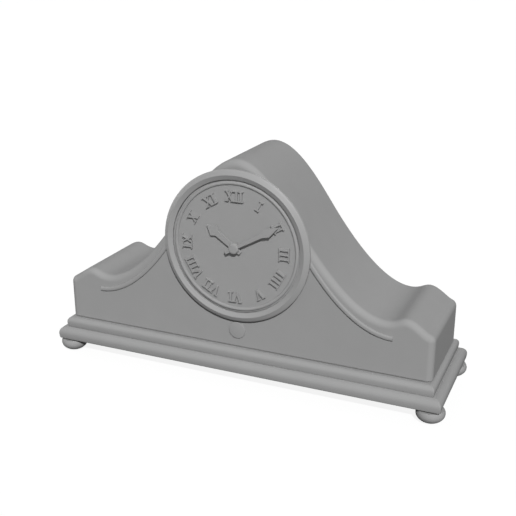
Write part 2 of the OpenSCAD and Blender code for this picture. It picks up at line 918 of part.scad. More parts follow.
module dial_feet() {
    color("goldenrod") on_dial() dial_foot_places() at([0, 0], front_plate_h - dial_foot_end)
        cylinder(h = seat_t - front_plate_h + dial_foot_end, r = dial_foot_r, $fn = small_fn);
}

module sight_ring() {
    mid_r = dial_r - sight_inset - sight_w / 2;
    color("silver") on_dial() at([0, 0], dial_face_h) rotate_extrude() polygon([
        for (i = [0 : sight_steps])
            let (a = half_turn * i / sight_steps)
            [mid_r + sight_w / 2 * cos(a), sight_h * sin(a)]
    ]);
}

// Numerals

// Width of one letter of a numeral
function letter_w(letter) = numeral_h * (letter == "I" ? stem_pitch_share : wide_letter_share);
function word_w(word, upto) = upto == 0 ? 0 : word_w(word, upto - 1) + letter_w(word[upto - 1]);

// A straight stroke from foot to head, wide along x
module stroke(foot_x, head_x, w) {
    h = numeral_h;
    polygon([[foot_x - w / 2, 0], [foot_x + w / 2, 0], [head_x + w / 2, h], [head_x - w / 2, h]]);
}

// Serif bars along the foot or the head
module serif(mid_x, w, at_head) {
    t = serif_share * numeral_h;
    translate([mid_x - w / 2, at_head ? numeral_h - t : 0]) square([w, t]);
}

module letter(name) {
    w = letter_w(name);
    thick = stem_share * numeral_h;
    thin = thin_share * numeral_h;
    reach = w - 2 * thick;
    serif_w = thick + 2 * serif_over_share * numeral_h;
    if (name == "I") {
        stroke(w / 2, w / 2, thick);
        serif(w / 2, w, false);
        serif(w / 2, w, true);
    }
    if (name == "V") {
        stroke(w / 2, thick, thick);
        stroke(w / 2, w - thick, thin);
        serif(thick, serif_w, true);
        serif(w - thick, serif_w, true);
    }
    if (name == "X") {
        stroke(thick + reach, thick, thick);
        stroke(thick, thick + reach, thin);
        serif(thick, serif_w, true);
        serif(w - thick, serif_w, true);
        serif(thick, serif_w, false);
        serif(w - thick, serif_w, false);
    }
}

module numerals() {
    color("dimgray") on_dial() for (i = [0 : hours - 1]) {
        word = numerals_in_order[i];
        rotate(-i * full_turn / hours)
            at([-word_w(word, len(word)) / 2, numeral_circle_r - numeral_h / 2], dial_face_h)
                linear_extrude(numeral_relief) union() {
                    for (k = [0 : len(word) - 1])
                        translate([word_w(word, k), 0]) letter(word[k]);
                }
    }
}

// Hands

// A hand with a diamond head, along +x, as an outline from tail to tip
module hand_shape(length, neck_share, head_share, tail_share, shaft_w, neck_w, head_w, hole_r) {
    difference() {
        union() {
            polygon([
                [-tail_share * length, -tail_w], [0, -shaft_w], [neck_share * length, -neck_w],
                [head_share * length, -head_w], [length, 0],
                [head_share * length, head_w], [neck_share * length, neck_w],
                [0, shaft_w], [-tail_share * length, tail_w]
            ]);
            circle(r = hub_r);
        }
        circle(r = hole_r);
    }
}

module minute_hand() {
    color("dimgray") on_dial() at([0, 0], minute_hand_h) rotate(minute_angle) linear_extrude(hand_t)
        hand_shape(minute_len, minute_neck_share, minute_head_share, minute_tail_share,
                   minute_shaft_w, minute_neck_w, minute_head_w, cannon_pipe_r + fit_gap);
}

module hour_hand() {
    color("dimgray") on_dial() at([0, 0], hour_hand_h) rotate(hour_angle) linear_extrude(hand_t)
        hand_shape(hour_len, hour_neck_share, hour_head_share, hour_tail_share,
                   hour_shaft_w, hour_neck_w, hour_head_w, hour_pipe_r + fit_gap);
}

module hand_cap() {
    color("dimgray") on_dial() at([0, 0], cap_seat_h) rotate_extrude() polygon([
        [0, 0], [hub_r, 0], [hub_r, cap_h * cap_flat_share],
        [hub_r * (1 + cap_flat_share) / 2, cap_h * (1 + cap_flat_share) / 2 + fit_gap],
        [hub_r * cap_flat_share, cap_h], [0, cap_h]
    ]);
}

// Movement frame

module ear_places() {
    for (a = fixing_angles) at(polar(ear_circle_r, a), 0) children();
}

module pillar_places() {
    for (a = pillar_angles) at(polar(pillar_circle_r, a), 0) children();
}

// A hole at a place, through a plate whose rear face is at a height
module plate_hole(xy, h, r) {
    at(xy, h - over) cylinder(h = plate_t + 2 * over, r = r, $fn = small_fn);
}

// Holes that both plates share
module plate_holes(h) {
    plate_hole(barrel_xy, h, barrel_pivot_r + pivot_shake);
    plate_hole([0, 0], h, centre_arbor_r + pivot_shake);
    for (p = [third_xy, fourth_xy, escape_xy, lever_xy]) plate_hole(p, h, pivot_r + pivot_shake);
    pillar_places() plate_hole([0, 0], h, pillar_spigot_r + fit_gap);
}

module front_plate() {
    color("goldenrod") on_dial() difference() {
        at([0, 0], front_plate_h) linear_extrude(plate_t) union() {
            circle(r = plate_r);
            for (a = fixing_angles) rotate(a) {
                translate([0, -ear_r]) square([ear_circle_r, 2 * ear_r]);
                translate([ear_circle_r, 0]) circle(r = ear_r);
            }
        }
        plate_holes(front_plate_h);
        plate_hole(balance_xy, front_plate_h, pivot_r + pivot_shake);
        plate_hole(minute_xy, front_plate_h, stud_r + fit_gap);
        dial_foot_places() plate_hole([0, 0], front_plate_h, dial_foot_r + fit_gap);
        ear_places() plate_hole([0, 0], front_plate_h, ear_screw_r + fit_gap);
    }
}

module plate_screws() {
    color("silver") on_dial() ear_places() {
        at([0, 0], front_plate_h - ear_screw_head_t)
            cylinder(h = ear_screw_head_t, r = ear_screw_head_r, $fn = small_fn);
        at([0, 0], front_plate_h - fit_gap)
            cylinder(h = ear_screw_len + plate_t, r = ear_screw_r, $fn = small_fn);
    }
}

module back_plate() {
    color("goldenrod") on_dial() difference() {
        at([0, 0], back_plate_h) cylinder(h = plate_t, r = plate_r);
        plate_holes(back_plate_h);
        plate_hole(balance_xy, back_plate_h, 2 * staff_r);
        plate_hole(click_xy, back_plate_h, click_screw_r + pivot_shake);
        plate_hole(cock_xy, back_plate_h, cock_screw_r + fit_gap);
    }
}

module pillars() {
    color("goldenrod") on_dial() pillar_places() {
        at([0, 0], back_plate_h + plate_t) cylinder(h = plate_gap, r = pillar_r, $fn = small_fn);
        at([0, 0], back_plate_h - nut_t)
            cylinder(h = plate_gap + 2 * plate_t + nut_t, r = pillar_spigot_r, $fn = small_fn);
    }
}

module pillar_nuts() {
    color("silver") on_dial() pillar_places() at([0, 0], back_plate_h - nut_t) difference() {
        cylinder(h = nut_t, r = nut_r, $fn = nut_sides);
        at([0, 0], -over) cylinder(h = nut_t + 2 * over, r = pillar_spigot_r + fit_gap, $fn = small_fn);
    }
}

// Wheels and arbors

// A plain wheel blank's crossings: everything between hub and rim but the spokes
module crossings(r_hub, r_rim) {
    difference() {
        circle(r = r_rim);
        circle(r = r_hub);
        for (i = [0 : spokes - 1]) rotate(i * full_turn / spokes)
            translate([0, -spoke_w / 2]) square([r_rim + over, spoke_w]);
    }
}

// A toothed wheel with spokes, centred on the origin
module wheel(teeth, module_mm, turn, t, bore_r) {
    r = teeth * module_mm / 2;
    r_hub = max(hub_share * r, bore_r + spoke_w);
    linear_extrude(t) difference() {
        polygon(toothed(teeth, module_mm, wheel_add_share, wheel_ded_share,
                        wheel_root_share, wheel_tip_share, turn));
        crossings(r_hub, rim_share * r);
        circle(r = bore_r, $fn = small_fn);
    }
}

// A pinion cut from the solid
module pinion(leaves, module_mm, turn, t, bore_r) {
    linear_extrude(t) difference() {
        polygon(toothed(leaves, module_mm, leaf_add_share, leaf_ded_share,
                        leaf_root_share, leaf_tip_share, turn));
        if (bore_r > 0) circle(r = bore_r, $fn = small_fn);
    }
}

// A plain arbor between the plates with a pivot at each end
module arbor(r, r_pivot) {
    at([0, 0], behind(plate_gap - shake)) cylinder(h = plate_gap - 2 * shake, r = r, $fn = small_fn);
    at([0, 0], back_plate_h) cylinder(h = plate_gap + 2 * plate_t, r = r_pivot, $fn = small_fn);
}

// A level behind the front plate's rear face, as a height off the case's face
function behind(level) = front_plate_h - level;

module centre_arbor() {
    color("gold") on_dial() {
        at([0, 0], back_face_h - knob_off - knob_len)
            cylinder(h = cap_seat_h - fit_gap - back_face_h + knob_off + knob_len,
                     r = centre_arbor_r, $fn = small_fn);
        at([0, 0], behind(great_level + great_t / 2 + pinion_len / 2))
            pinion(centre_leaves, coarse_module, centre_leaf_turn, pinion_len, 0);
        at([0, 0], behind(centre_level + wheel_t))
            wheel(centre_teeth, coarse_module, centre_wheel_turn, wheel_t, centre_arbor_r - fit_gap);
    }
}

module setting_knob() {
    color("goldenrod") on_dial() at([0, 0], back_face_h - knob_off - knob_len) difference() {
        cylinder(h = knob_len, r = knob_r);
        at([0, 0], -over) cylinder(h = knob_len + 2 * over, r = centre_arbor_r + fit_gap, $fn = small_fn);
    }
}

module cannon_pinion() {
    low = front_plate_h + plate_t + motion_floor;
    color("silver") on_dial() difference() {
        union() {
            at([0, 0], low) cylinder(h = cap_seat_h - low, r = cannon_pipe_r, $fn = small_fn);
            at([0, 0], low)
                pinion(cannon_leaves, motion_module, cannon_turn, cannon_leaf_len, centre_arbor_r);
        }
        at([0, 0], low - over)
            cylinder(h = cap_seat_h - low + 2 * over, r = centre_arbor_r + fit_gap, $fn = small_fn);
    }
}

module minute_stud() {
    stud_end = front_plate_h + plate_t + minute_wheel_off + wheel_t + minute_leaf_len + shake;
    color("silver") on_dial() {
        at(minute_xy, front_plate_h) cylinder(h = stud_end - front_plate_h, r = stud_r, $fn = small_fn);
        at(minute_xy, stud_end) cylinder(h = stud_head_t, r = stud_head_r, $fn = small_fn);
    }
}

module minute_wheel() {
    low = front_plate_h + plate_t + minute_wheel_off;
    color("gold") on_dial() at(minute_xy, 0) {
        at([0, 0], low) wheel(minute_teeth, motion_module, minute_wheel_turn, wheel_t, stud_r + fit_gap);
        at([0, 0], low + wheel_t)
            pinion(minute_leaves, hour_module, minute_leaf_turn, minute_leaf_len, stud_r + fit_gap);
    }
}

module hour_wheel() {
    low = front_plate_h + plate_t + hour_wheel_off;
    color("gold") on_dial() difference() {
        union() {
            at([0, 0], low) wheel(hour_teeth, hour_module, hour_wheel_turn, wheel_t, hour_pipe_in_r);
            at([0, 0], low) cylinder(h = hour_hand_h + hand_t - low, r = hour_pipe_r, $fn = small_fn);
        }
        at([0, 0], low - over)
            cylinder(h = hour_hand_h - low + 3 * over, r = hour_pipe_in_r, $fn = small_fn);
    }
}

// Going barrel

module barrel() {
    color("gold") on_dial() at(barrel_xy, 0) difference() {
        union() {
            at([0, 0], behind(great_level + great_t)) linear_extrude(great_t)
                polygon(toothed(great_teeth, coarse_module, wheel_add_share, wheel_ded_share,
                                wheel_root_share, wheel_tip_share, great_turn));
            at([0, 0], behind(great_level + great_t + barrel_len)) cylinder(h = barrel_len, r = barrel_r);
        }
        at([0, 0], behind(great_level + great_t + barrel_len + over))
            cylinder(h = barrel_len + over, r = barrel_r - barrel_wall);
        at([0, 0], behind(great_level + great_t + over))
            cylinder(h = great_t + 2 * over, r = barrel_arbor_r + fit_gap, $fn = small_fn);
    }
}

module barrel_cover() {
    color("gold") on_dial() at(barrel_xy, behind(great_level + great_t + barrel_len)) difference() {
        cylinder(h = cover_t, r = barrel_r - barrel_wall - fit_gap);
        at([0, 0], -over) cylinder(h = cover_t + 2 * over, r = barrel_arbor_r + fit_gap, $fn = small_fn);
    }
}

module mainspring() {
    room = barrel_len - cover_t - 2 * spring_clear;
    low = behind(great_level + great_t + barrel_len - cover_t - spring_clear);
    color("steelblue") on_dial() at(barrel_xy, low)
        linear_extrude(room)
            polygon(spiral(barrel_arbor_r + spring_clear + spring_t, barrel_r - barrel_wall - spring_t,
                           spring_turns, spring_t, spring_steps));
}

module barrel_arbor() {
    square_len = key_h - key_wing_w / 2 - work_gap;
    color("silver") on_dial() at(barrel_xy, 0) {
        arbor(barrel_arbor_r, barrel_pivot_r);
        at([-square_w / 2, -square_w / 2], back_face_h - work_gap - square_len)
            cube([square_w, square_w, square_len]);
        at([0, 0], back_face_h - work_gap)
            cylinder(h = work_gap + shake, r = barrel_pivot_r, $fn = small_fn);
    }
}

function ratchet_points() = [
    for (i = [0 : ratchet_teeth - 1])
        let (pitch = full_turn / ratchet_teeth)
        each [
            polar(ratchet_r, i * pitch),
            polar(ratchet_r - ratchet_tooth, (i + ratchet_undercut_share) * pitch)
        ]
];

// A square hole round the winding square
module square_hole(t) {
    side = square_w + 2 * fit_gap;
    at([-side / 2, -side / 2], -over) cube([side, side, t + 2 * over]);
}

module ratchet_wheel() {
    color("silver") on_dial() at(barrel_xy, back_face_h - work_gap - ratchet_t) difference() {
        linear_extrude(ratchet_t) polygon(ratchet_points());
        square_hole(ratchet_t);
    }
}

module winding_key() {
    hub_len = key_h - 2 * work_gap - ratchet_t - fit_gap;
    color("goldenrod") on_dial() at(barrel_xy, back_face_h - key_h) difference() {
        union() {
            cylinder(h = hub_len, r = key_hub_r, $fn = small_fn);
            at([key_wing_w / 2 - key_wing_r, -key_t / 2], 0)
                cube([2 * key_wing_r - key_wing_w, key_t, key_wing_w]);
            for (s = [-1, 1])
                at([s * (key_wing_r - key_wing_w / 2), key_t / 2], key_wing_w / 2)
                    rotate([right_angle, 0, 0]) cylinder(h = key_t, r = key_wing_w / 2, $fn = small_fn);
        }
        at([0, 0], key_wing_w / 2) square_hole(hub_len);
    }
}

module click() {
    nose = click_nose_xy - click_xy;
    along = unit(nose);
    across = [-along.y, along.x];
    tail = -click_w * along;
    color("silver") on_dial() at(click_xy, 0) {
        at([0, 0], back_face_h - work_gap - ratchet_t) linear_extrude(click_t) union() {
            circle(r = click_w / 2 + fit_gap);
            polygon([
                tail + across * click_w / 3, tail - across * click_w / 3,
                -across * click_w / 2, nose, across * click_w / 2
            ]);
        }
        at([0, 0], back_face_h - work_gap - ratchet_t)
            cylinder(h = plate_t + work_gap + ratchet_t, r = click_screw_r, $fn = small_fn);
    }
}

// A flat leaf on a post, just off the click's tail
module click_spring() {
    nose = click_nose_xy - click_xy;
    along = unit(nose);
    across = [-along.y, along.x];
    base = click_xy - (click_w + click_spring_gap) * along;
    post = base - 2 * click_w * across;
    color("steelblue") on_dial() {
        at([0, 0], back_face_h - work_gap - ratchet_t) linear_extrude(click_t) polygon([
            base + click_w / 2 * across, base + click_w / 2 * across - click_spring_t * along,
            post - click_spring_t * along, post
        ]);
        at(post - click_spring_t / 2 * along, back_face_h - work_gap - ratchet_t)
            cylinder(h = work_gap + ratchet_t, r = click_spring_t * 2, $fn = small_fn);
    }
}

// Train behind the centre wheel

module third_wheel() {
    color("gold") on_dial() at(third_xy, 0) {
        arbor(arbor_r, pivot_r);
        at([0, 0], behind(centre_level + wheel_t / 2 + pinion_len / 2))
            pinion(third_leaves, coarse_module, third_leaf_turn, pinion_len, 0);
        at([0, 0], behind(third_level + wheel_t))
            wheel(third_teeth, third_module, third_wheel_turn, wheel_t, arbor_r - fit_gap);
    }
}

module fourth_wheel() {
    color("gold") on_dial() at(fourth_xy, 0) {
        arbor(arbor_r, pivot_r);
        at([0, 0], behind(third_level + wheel_t / 2 + pinion_len / 2))
            pinion(fourth_leaves, third_module, fourth_leaf_turn, pinion_len, 0);
        at([0, 0], behind(fourth_level + wheel_t))
            wheel(fourth_teeth, fine_module, fourth_wheel_turn, wheel_t, arbor_r - fit_gap);
    }
}

module escape_wheel() {
    pitch = full_turn / escape_teeth;
    color("gold") on_dial() at(escape_xy, 0) {
        arbor(escape_arbor_r, pivot_r);
        at([0, 0], behind(fourth_level + wheel_t / 2 + pinion_len / 2))
            pinion(escape_leaves, fine_module, escape_leaf_turn, pinion_len, 0);
        at([0, 0], behind(escape_level)) linear_extrude(escape_t) difference() {
            polygon([
                for (i = [0 : escape_teeth - 1])
                    each [
                        polar(escape_r - escape_tooth, (i - escape_root_share) * pitch),
                        polar(escape_r, (i - escape_tip_share) * pitch), polar(escape_r, i * pitch)
                    ]
            ]);
            crossings(hub_share * escape_r, escape_r - escape_rim);
        }
    }
}

module lever() {
    up = polar(1, balance_angle + half_turn);
    across = [-up.y, up.x];
    color("silver") on_dial() at(lever_xy, 0) {
        arbor(escape_arbor_r, pivot_r);
        at([0, 0], behind(lever_level)) {
            linear_extrude(lever_t) union() {
                circle(r = 2 * escape_arbor_r);
                polygon([
                    -across * pallet_span - up * lever_w / 2, across * pallet_span - up * lever_w / 2,
                    across * pallet_span + up * lever_w / 2, -across * pallet_span + up * lever_w / 2
                ]);
                for (s = [-1, 1]) polygon([
                    s * across * (pallet_span - pallet_w), s * across * pallet_span,
                    s * across * pallet_span + up * (pallet_reach - pallet_w),
                    s * across * (pallet_span - pallet_w) + up * pallet_reach
                ]);
                polygon([
                    across * lever_w / 2, -across * lever_w / 2,
                    -across * lever_w / 2 - up * (fork_reach - fork_slot_len),
                    across * lever_w / 2 - up * (fork_reach - fork_slot_len)
                ]);
                for (s = [-1, 1]) polygon([
                    s * across * fork_slot / 2 - up * (fork_reach - fork_slot_len - lever_w),
                    s * across * fork_w / 2 - up * (fork_reach - fork_slot_len - lever_w),
                    s * across * fork_w / 2 - up * fork_reach,
                    s * across * fork_slot / 2 - up * fork_reach
                ]);
                translate(-up * (fork_reach - fork_slot_len)) circle(r = fork_w / 2);
            }
        }
    }
}

// Balance

module balance_wheel() {
    low = back_face_h - balance_off - balance_t;
    staff_back = back_face_h - cock_off - cock_t;
    color("gold") on_dial() at(balance_xy, 0) {
        at([0, 0], low) linear_extrude(balance_t) union() {
            difference() {
                circle(r = balance_r);
                circle(r = balance_r - balance_rim);
            }
            circle(r = 2 * staff_r, $fn = small_fn);
            for (i = [0 : 1]) rotate(i * right_angle)
                translate([balance_rim / 2 - balance_r, -spoke_w / 2])
                    square([2 * balance_r - balance_rim, spoke_w]);
        }
        at([0, 0], back_face_h - cock_off + shake)
            cylinder(h = cock_off + plate_t + plate_gap - 2 * shake, r = staff_r, $fn = small_fn);
        at([0, 0], staff_back)
            cylinder(h = front_plate_h + plate_t - staff_back, r = pivot_r, $fn = small_fn);
        at([0, 0], behind(lever_level)) cylinder(h = roller_t, r = roller_r, $fn = small_fn);
    }
}

module hairspring() {
    stud = balance_xy + [hair_out_r, 0];
    low = back_face_h - hair_off - hair_w;
    color("steelblue") on_dial() {
        at(balance_xy, low) linear_extrude(hair_w)
            polygon(spiral(hair_in_r, hair_out_r, hair_turns, hair_t, spring_steps));
        at(stud, back_face_h - cock_off) cylinder(h = cock_off - hair_off, r = 3 * hair_t, $fn = small_fn);
    }
}

module balance_cock() {
    low = back_face_h - cock_off - cock_t;
    color("goldenrod") on_dial() difference() {
        union() {
            at([0, 0], low) linear_extrude(cock_t) union() {
                translate(balance_xy) circle(r = cock_w / 2 + 3 * hair_t);
                translate(balance_xy) translate([0, -cock_w / 2]) square([hair_out_r + 4 * hair_t, cock_w]);
                translate(balance_xy) rotate(cock_angle) translate([0, -cock_w / 2])
                    square([cock_reach, cock_w]);
                translate(cock_xy) circle(r = cock_foot_r);
            }
            at(cock_xy, low) cylinder(h = cock_off + cock_t, r = cock_foot_r);
        }
        at(balance_xy, low - over)
            cylinder(h = cock_t + 2 * over, r = pivot_r + pivot_shake, $fn = small_fn);
        at(cock_xy, low - over)
            cylinder(h = cock_off + cock_t + 2 * over, r = cock_screw_r + fit_gap, $fn = small_fn);
    }
}

module cock_screw() {
    low = back_face_h - cock_off - cock_t;
    color("steelblue") on_dial() at(cock_xy, 0) {
        at([0, 0], low - cock_screw_head_t)
            cylinder(h = cock_screw_head_t, r = cock_screw_head_r, $fn = small_fn);
        at([0, 0], low - fit_gap)
            cylinder(h = cock_off + cock_t + plate_t + fit_gap, r = cock_screw_r, $fn = small_fn);
    }
}

// Back door

// A cylinder on the door hinge's axis, behind the case
module door_rod(from, to, r) {
    translate([door_r + door_hinge_run, from - door_hinge_drop, -case_d - door_axis_off])
        rotate([-right_angle, 0, 0]) cylinder(h = to - from, r = r, $fn = small_fn);
}

module back_door() {
    tab = door_hinge_run + 2 * door_lap;
    color("goldenrod") on_dial() difference() {
        union() {
            at([0, 0], -case_d - door_t) cylinder(h = door_t, r = door_r);
            at([door_r - 2 * door_lap, -door_hinge_drop - door_knuckle_mid], -case_d - door_axis_off)
                cube([tab, 2 * door_knuckle_mid, door_axis_off - door_knuckle_gap]);
            door_rod(-door_knuckle_mid, door_knuckle_mid, door_knuckle_r);
        }
        door_rod(-door_knuckle_mid - over, door_knuckle_mid + over, door_pin_r + fit_gap);
        for (i = [0 : vents - 1]) at(polar(vent_circle_r, i * full_turn / vents), -case_d - door_t - over)
            cylinder(h = door_t + 2 * over, r = vent_r, $fn = small_fn);
        at([door_knob_in - door_r, 0], -case_d - door_t - over)
            cylinder(h = door_t + 2 * over, r = door_knob_neck_r - 2 * fit_gap, $fn = small_fn);
    }
}

module door_knob() {
    color("goldenrod") on_dial() at([door_knob_in - door_r, 0], -case_d - door_t) {
        at([0, 0], -door_knob_len)
            cylinder(h = door_knob_len - door_knob_neck, r = door_knob_r, $fn = small_fn);
        at([0, 0], -door_knob_len) cylinder(h = door_knob_len, r = door_knob_neck_r, $fn = small_fn);
        cylinder(h = door_t, r = door_knob_neck_r - 3 * fit_gap, $fn = small_fn);
    }
}

module door_hinge() {
    color("goldenrod") on_dial() difference() {
        union() {
            at([door_r + door_hinge_run, -door_hinge_drop - leaf_half_h], -case_d - leaf_t)
                cube([leaf_w, 2 * leaf_half_h, leaf_t]);
            door_rod(-leaf_half_h, leaf_half_h, door_knuckle_r);
        }
        translate([door_r + door_hinge_run - 2 * door_knuckle_r,
                   -door_hinge_drop - door_knuckle_mid - door_knuckle_gap,
                   -case_d - 2 * door_axis_off])
            cube([4 * door_knuckle_r, 2 * (door_knuckle_mid + door_knuckle_gap), 2 * door_axis_off + over]);
        door_rod(-leaf_half_h - over, leaf_half_h + over, door_pin_r + fit_gap / 2);
        for (y = leaf_screw_places) at([leaf_mid_x, y], -case_d - leaf_t - over)
            cylinder(h = leaf_t + 2 * over, r = leaf_screw_r + fit_gap, $fn = small_fn);
    }
}

module door_hinge_pin() {
    color("silver") on_dial() door_rod(-leaf_half_h, leaf_half_h, door_pin_r);
}

module door_screws() {
    color("goldenrod") on_dial() for (y = leaf_screw_places) at([leaf_mid_x, y], -case_d - leaf_t) {
        at([0, 0], -leaf_screw_head_t)
            cylinder(h = leaf_screw_head_t, r = leaf_screw_head_r, $fn = small_fn);
        cylinder(h = leaf_t + leaf_screw_len - over, r = leaf_screw_r, $fn = small_fn);
    }
}

case_front();
case_wrap();
case_back();
glue_blocks();
plinth_upper();
plinth_lower();
plinth_screws();
foot_front_left();
foot_front_right();
foot_back_left();
foot_back_right();
bead_left();
bead_right();
roundel();
bezel_seat();
seat_screws();
bezel_hinge_pin();
bezel();
bezel_glass();
glass_ring();
dial();
dial_feet();
numerals();
sight_ring();
front_plate();
plate_screws();
back_plate();
pillars();
pillar_nuts();
minute_stud();
centre_arbor();
cannon_pinion();
minute_hand();
hand_cap();
setting_knob();
hour_wheel();
hour_hand();
minute_wheel();
barrel();
barrel_cover();
mainspring();
barrel_arbor();
ratchet_wheel();
winding_key();
click();
click_spring();
third_wheel();
fourth_wheel();
escape_wheel();
lever();
balance_wheel();
hairspring();
balance_cock();
cock_screw();
back_door();
door_knob();
door_hinge();
door_hinge_pin();
door_screws();
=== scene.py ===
import json
import math

import bmesh
import bpy
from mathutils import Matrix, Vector


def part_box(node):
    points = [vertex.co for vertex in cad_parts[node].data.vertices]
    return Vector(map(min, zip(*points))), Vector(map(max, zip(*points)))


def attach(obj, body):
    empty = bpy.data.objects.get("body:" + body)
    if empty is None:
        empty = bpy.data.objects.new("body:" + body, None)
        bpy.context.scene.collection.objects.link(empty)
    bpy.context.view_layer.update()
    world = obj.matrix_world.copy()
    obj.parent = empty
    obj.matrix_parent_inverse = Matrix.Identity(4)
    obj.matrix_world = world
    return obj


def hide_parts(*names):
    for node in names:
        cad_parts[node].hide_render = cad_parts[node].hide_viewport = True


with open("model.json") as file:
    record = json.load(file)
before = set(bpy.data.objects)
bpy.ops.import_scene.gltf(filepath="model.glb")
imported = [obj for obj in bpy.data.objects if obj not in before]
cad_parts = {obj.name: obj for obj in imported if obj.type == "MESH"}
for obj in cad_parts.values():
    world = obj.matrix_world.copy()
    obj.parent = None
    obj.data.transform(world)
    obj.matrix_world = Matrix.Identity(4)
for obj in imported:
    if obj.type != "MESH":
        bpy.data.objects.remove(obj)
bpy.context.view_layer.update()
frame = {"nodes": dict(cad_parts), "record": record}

# Looks of the tambour mantel clock. Every shape is in metres, in the frame of the packed
# model: X along the clock, Y from front to back, Z up. A height on the front is measured
# off the face of the case.

MM = 0.001
QUARTER = math.pi / 2
# Points closer together than this are one
WELD = 1e-7

# Main places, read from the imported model
FRONT_LOW, FRONT_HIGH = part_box("case_front")
REAR_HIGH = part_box("case_back")[1]
DIAL_LOW, DIAL_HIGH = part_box("dial")
BEZEL_LOW, BEZEL_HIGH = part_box("bezel")
HALF_W = FRONT_HIGH.x
FACE_Y = FRONT_LOW.y
REAR_Y = REAR_HIGH.y
CASE_Z = FRONT_LOW.z
CASE_H = FRONT_HIGH.z - FRONT_LOW.z
BOARD_T = FRONT_HIGH.y - FRONT_LOW.y
DIAL_Z = (DIAL_LOW.z + DIAL_HIGH.z) / 2
DIAL_R = DIAL_HIGH.x
DIAL_H = FACE_Y - DIAL_LOW.y
BEZEL_R = BEZEL_HIGH.x
BEZEL_SEAT_H = FACE_Y - BEZEL_HIGH.y
CREST_H = FACE_Y - BEZEL_LOW.y

# Case: half of the top line, as shares of the half length and of the height, four cubic
# curves end to end
TOP_LINE_SHARES = (
    (0, 1), (0.1294, 1), (0.264, 0.771), (0.3444, 0.6513),
    (0.441, 0.5074), (0.6151, 0.279), (0.7628, 0.279),
    (0.8103, 0.279), (0.8267, 0.3042), (0.8602, 0.3042),
    (0.9018, 0.3042), (0.9547, 0.2474), (0.975, 0.2409),
)
TOP_LINE_STEPS = (44, 48, 22, 18)
CORNER_STEPS = 14
EDGE_R = 4.6 * MM
EDGE_STEPS = 12
WRAP_T = 5 * MM
FRONT_BORE_R = 41.45 * MM
DOOR_BORE_R = 40 * MM
BORE_STEPS = 128
# A cut this far from a round keeps the flat beside it evenly shaded
EDGE_SUPPORT = 0.3 * MM
# Round at the foot of the case, where it meets the plinth
FOOT_SOFT_R = 1.4 * MM
FOOT_SOFT_STEPS = 6
# Edges sharper than this many degrees stay crisp
SHARP_ANGLE = 34

# Bead strips: lower edge as shares, section and size
BEAD_LINE_SHARES = ((0.3397, 0.5625), (0.4603, 0.3706), (0.6247, 0.1865), (0.8025, 0.1865))
BEAD_W = 3.4 * MM
BEAD_STEPS = 90
BEAD_SECTION_STEPS = 14
BEAD_ROUNDNESS = 2.6
BEAD_SHARP_ANGLE = 50
# The left strip leaves room for the bezel, which swings past its end
BEAD_GAP = 0.05 * MM
BEZEL_SWING_GAP = 0.65 * MM
# A long line's start is sought by halving this first share of it, and its direction is
# taken from a point this share ahead
BEAD_SEARCH_SHARE = 0.5
BEAD_SEARCH_HALVINGS = 40
BEAD_AHEAD_SHARE = 1e-4

# Plinth tiers: a nose over a wall that draws in, then a small round and a sloped underside
NOSE_SHARE = 0.48
NOSE_STEPS = 12
WALL_SHARE = 0.9
WALL_STEPS = 8
UNDER_SOFT_R = 0.2 * MM
UNDER_SOFT_START = -90
UNDER_SOFT_END = -20
UNDER_SOFT_STEPS = 3
UNDER_RUN = 3.6
TIER_CORNER_R = 0.9 * MM
TIER_CORNER_STEPS = 4
UPPER_DRAW_IN = 0.5 * MM
LOWER_DRAW_IN = 0.55 * MM
LOWER_LIFT = 1.3 * MM

# Ball feet: the ball's middle and half height above the surface, and the peg
BALL_MID_H = 6.4 * MM
BALL_HALF_H = 6.7 * MM
BALL_STEPS = 22
PEG_R = 3 * MM
PEG_SOFT_R = 0.4 * MM

# Turned pieces: a radius below ON_AXIS is a point on the axis
TURN_STEPS = 192
ON_AXIS = 1e-9
# Soft corners of a section: the close points lie this many times the corner's size away
EASE_STEPS = 4
EASE_SUPPORT = 1.6

# Bezel: the wall up from its seat, how far in from its rim the chamfer ends and the crest
# lies, and how far below the crest the chamfer and the inner flat end
BEZEL_WALL_H = 1.6 * MM
CHAMFER_RUN = 1 * MM
CREST_RUN = 3.6 * MM
FLAT_DROP = 1.45 * MM
# Lip over the glass and the rebate below it, out from the dial's edge
LIP_RUN = 0.35 * MM
LIP_T = 0.15 * MM
REBATE_RUN = 2.5 * MM
BEZEL_SOFT_R = 0.18 * MM
BEZEL_SHARP_ANGLE = 40

# Other pieces of the dial side. The rim stands a little higher than its solid.
RIM_W = 2.6 * MM
RIM_EXTRA = 0.3 * MM
RIM_STEPS = 16
ROUNDEL_SOFT_R = 0.3 * MM
ROUNDEL_SOFT_STEPS = 4
CAP_FLAT_SHARE = 0.55
CAP_WALL_SHARE = 0.45
CAP_STEPS = 8
GLASS_T = 0.6 * MM
GLASS_FOOT_W = 2.5 * MM
DOME_STEPS = 28
DOME_POWER = 4
# Extra depth of the numerals and hands, so that their sides show as in the photograph
NUMERAL_FRONT = 0.9 * MM
NUMERAL_SOFT_R = 0.05 * MM
HOUR_BACK = 0.8 * MM
MINUTE_FRONT = 0.7 * MM
HAND_SOFT_R = 0.2 * MM
SOFT_SEGMENTS = 3
SOFT_ANGLE = 40

# Colours: 8-bit display levels of the greys, and linear colours of what the case hides
PAINT_LEVEL = 149
GLASS_LEVEL = 235
GLASS_ALPHA = 0.02
WOOD_COLOUR = (0.42, 0.26, 0.14, 1)
BRASS_COLOUR = (0.62, 0.42, 0.16, 1)
STEEL_COLOUR = (0.55, 0.56, 0.58, 1)
BLUED_COLOUR = (0.05, 0.08, 0.2, 1)
PAINT_ROUGH = 0.55
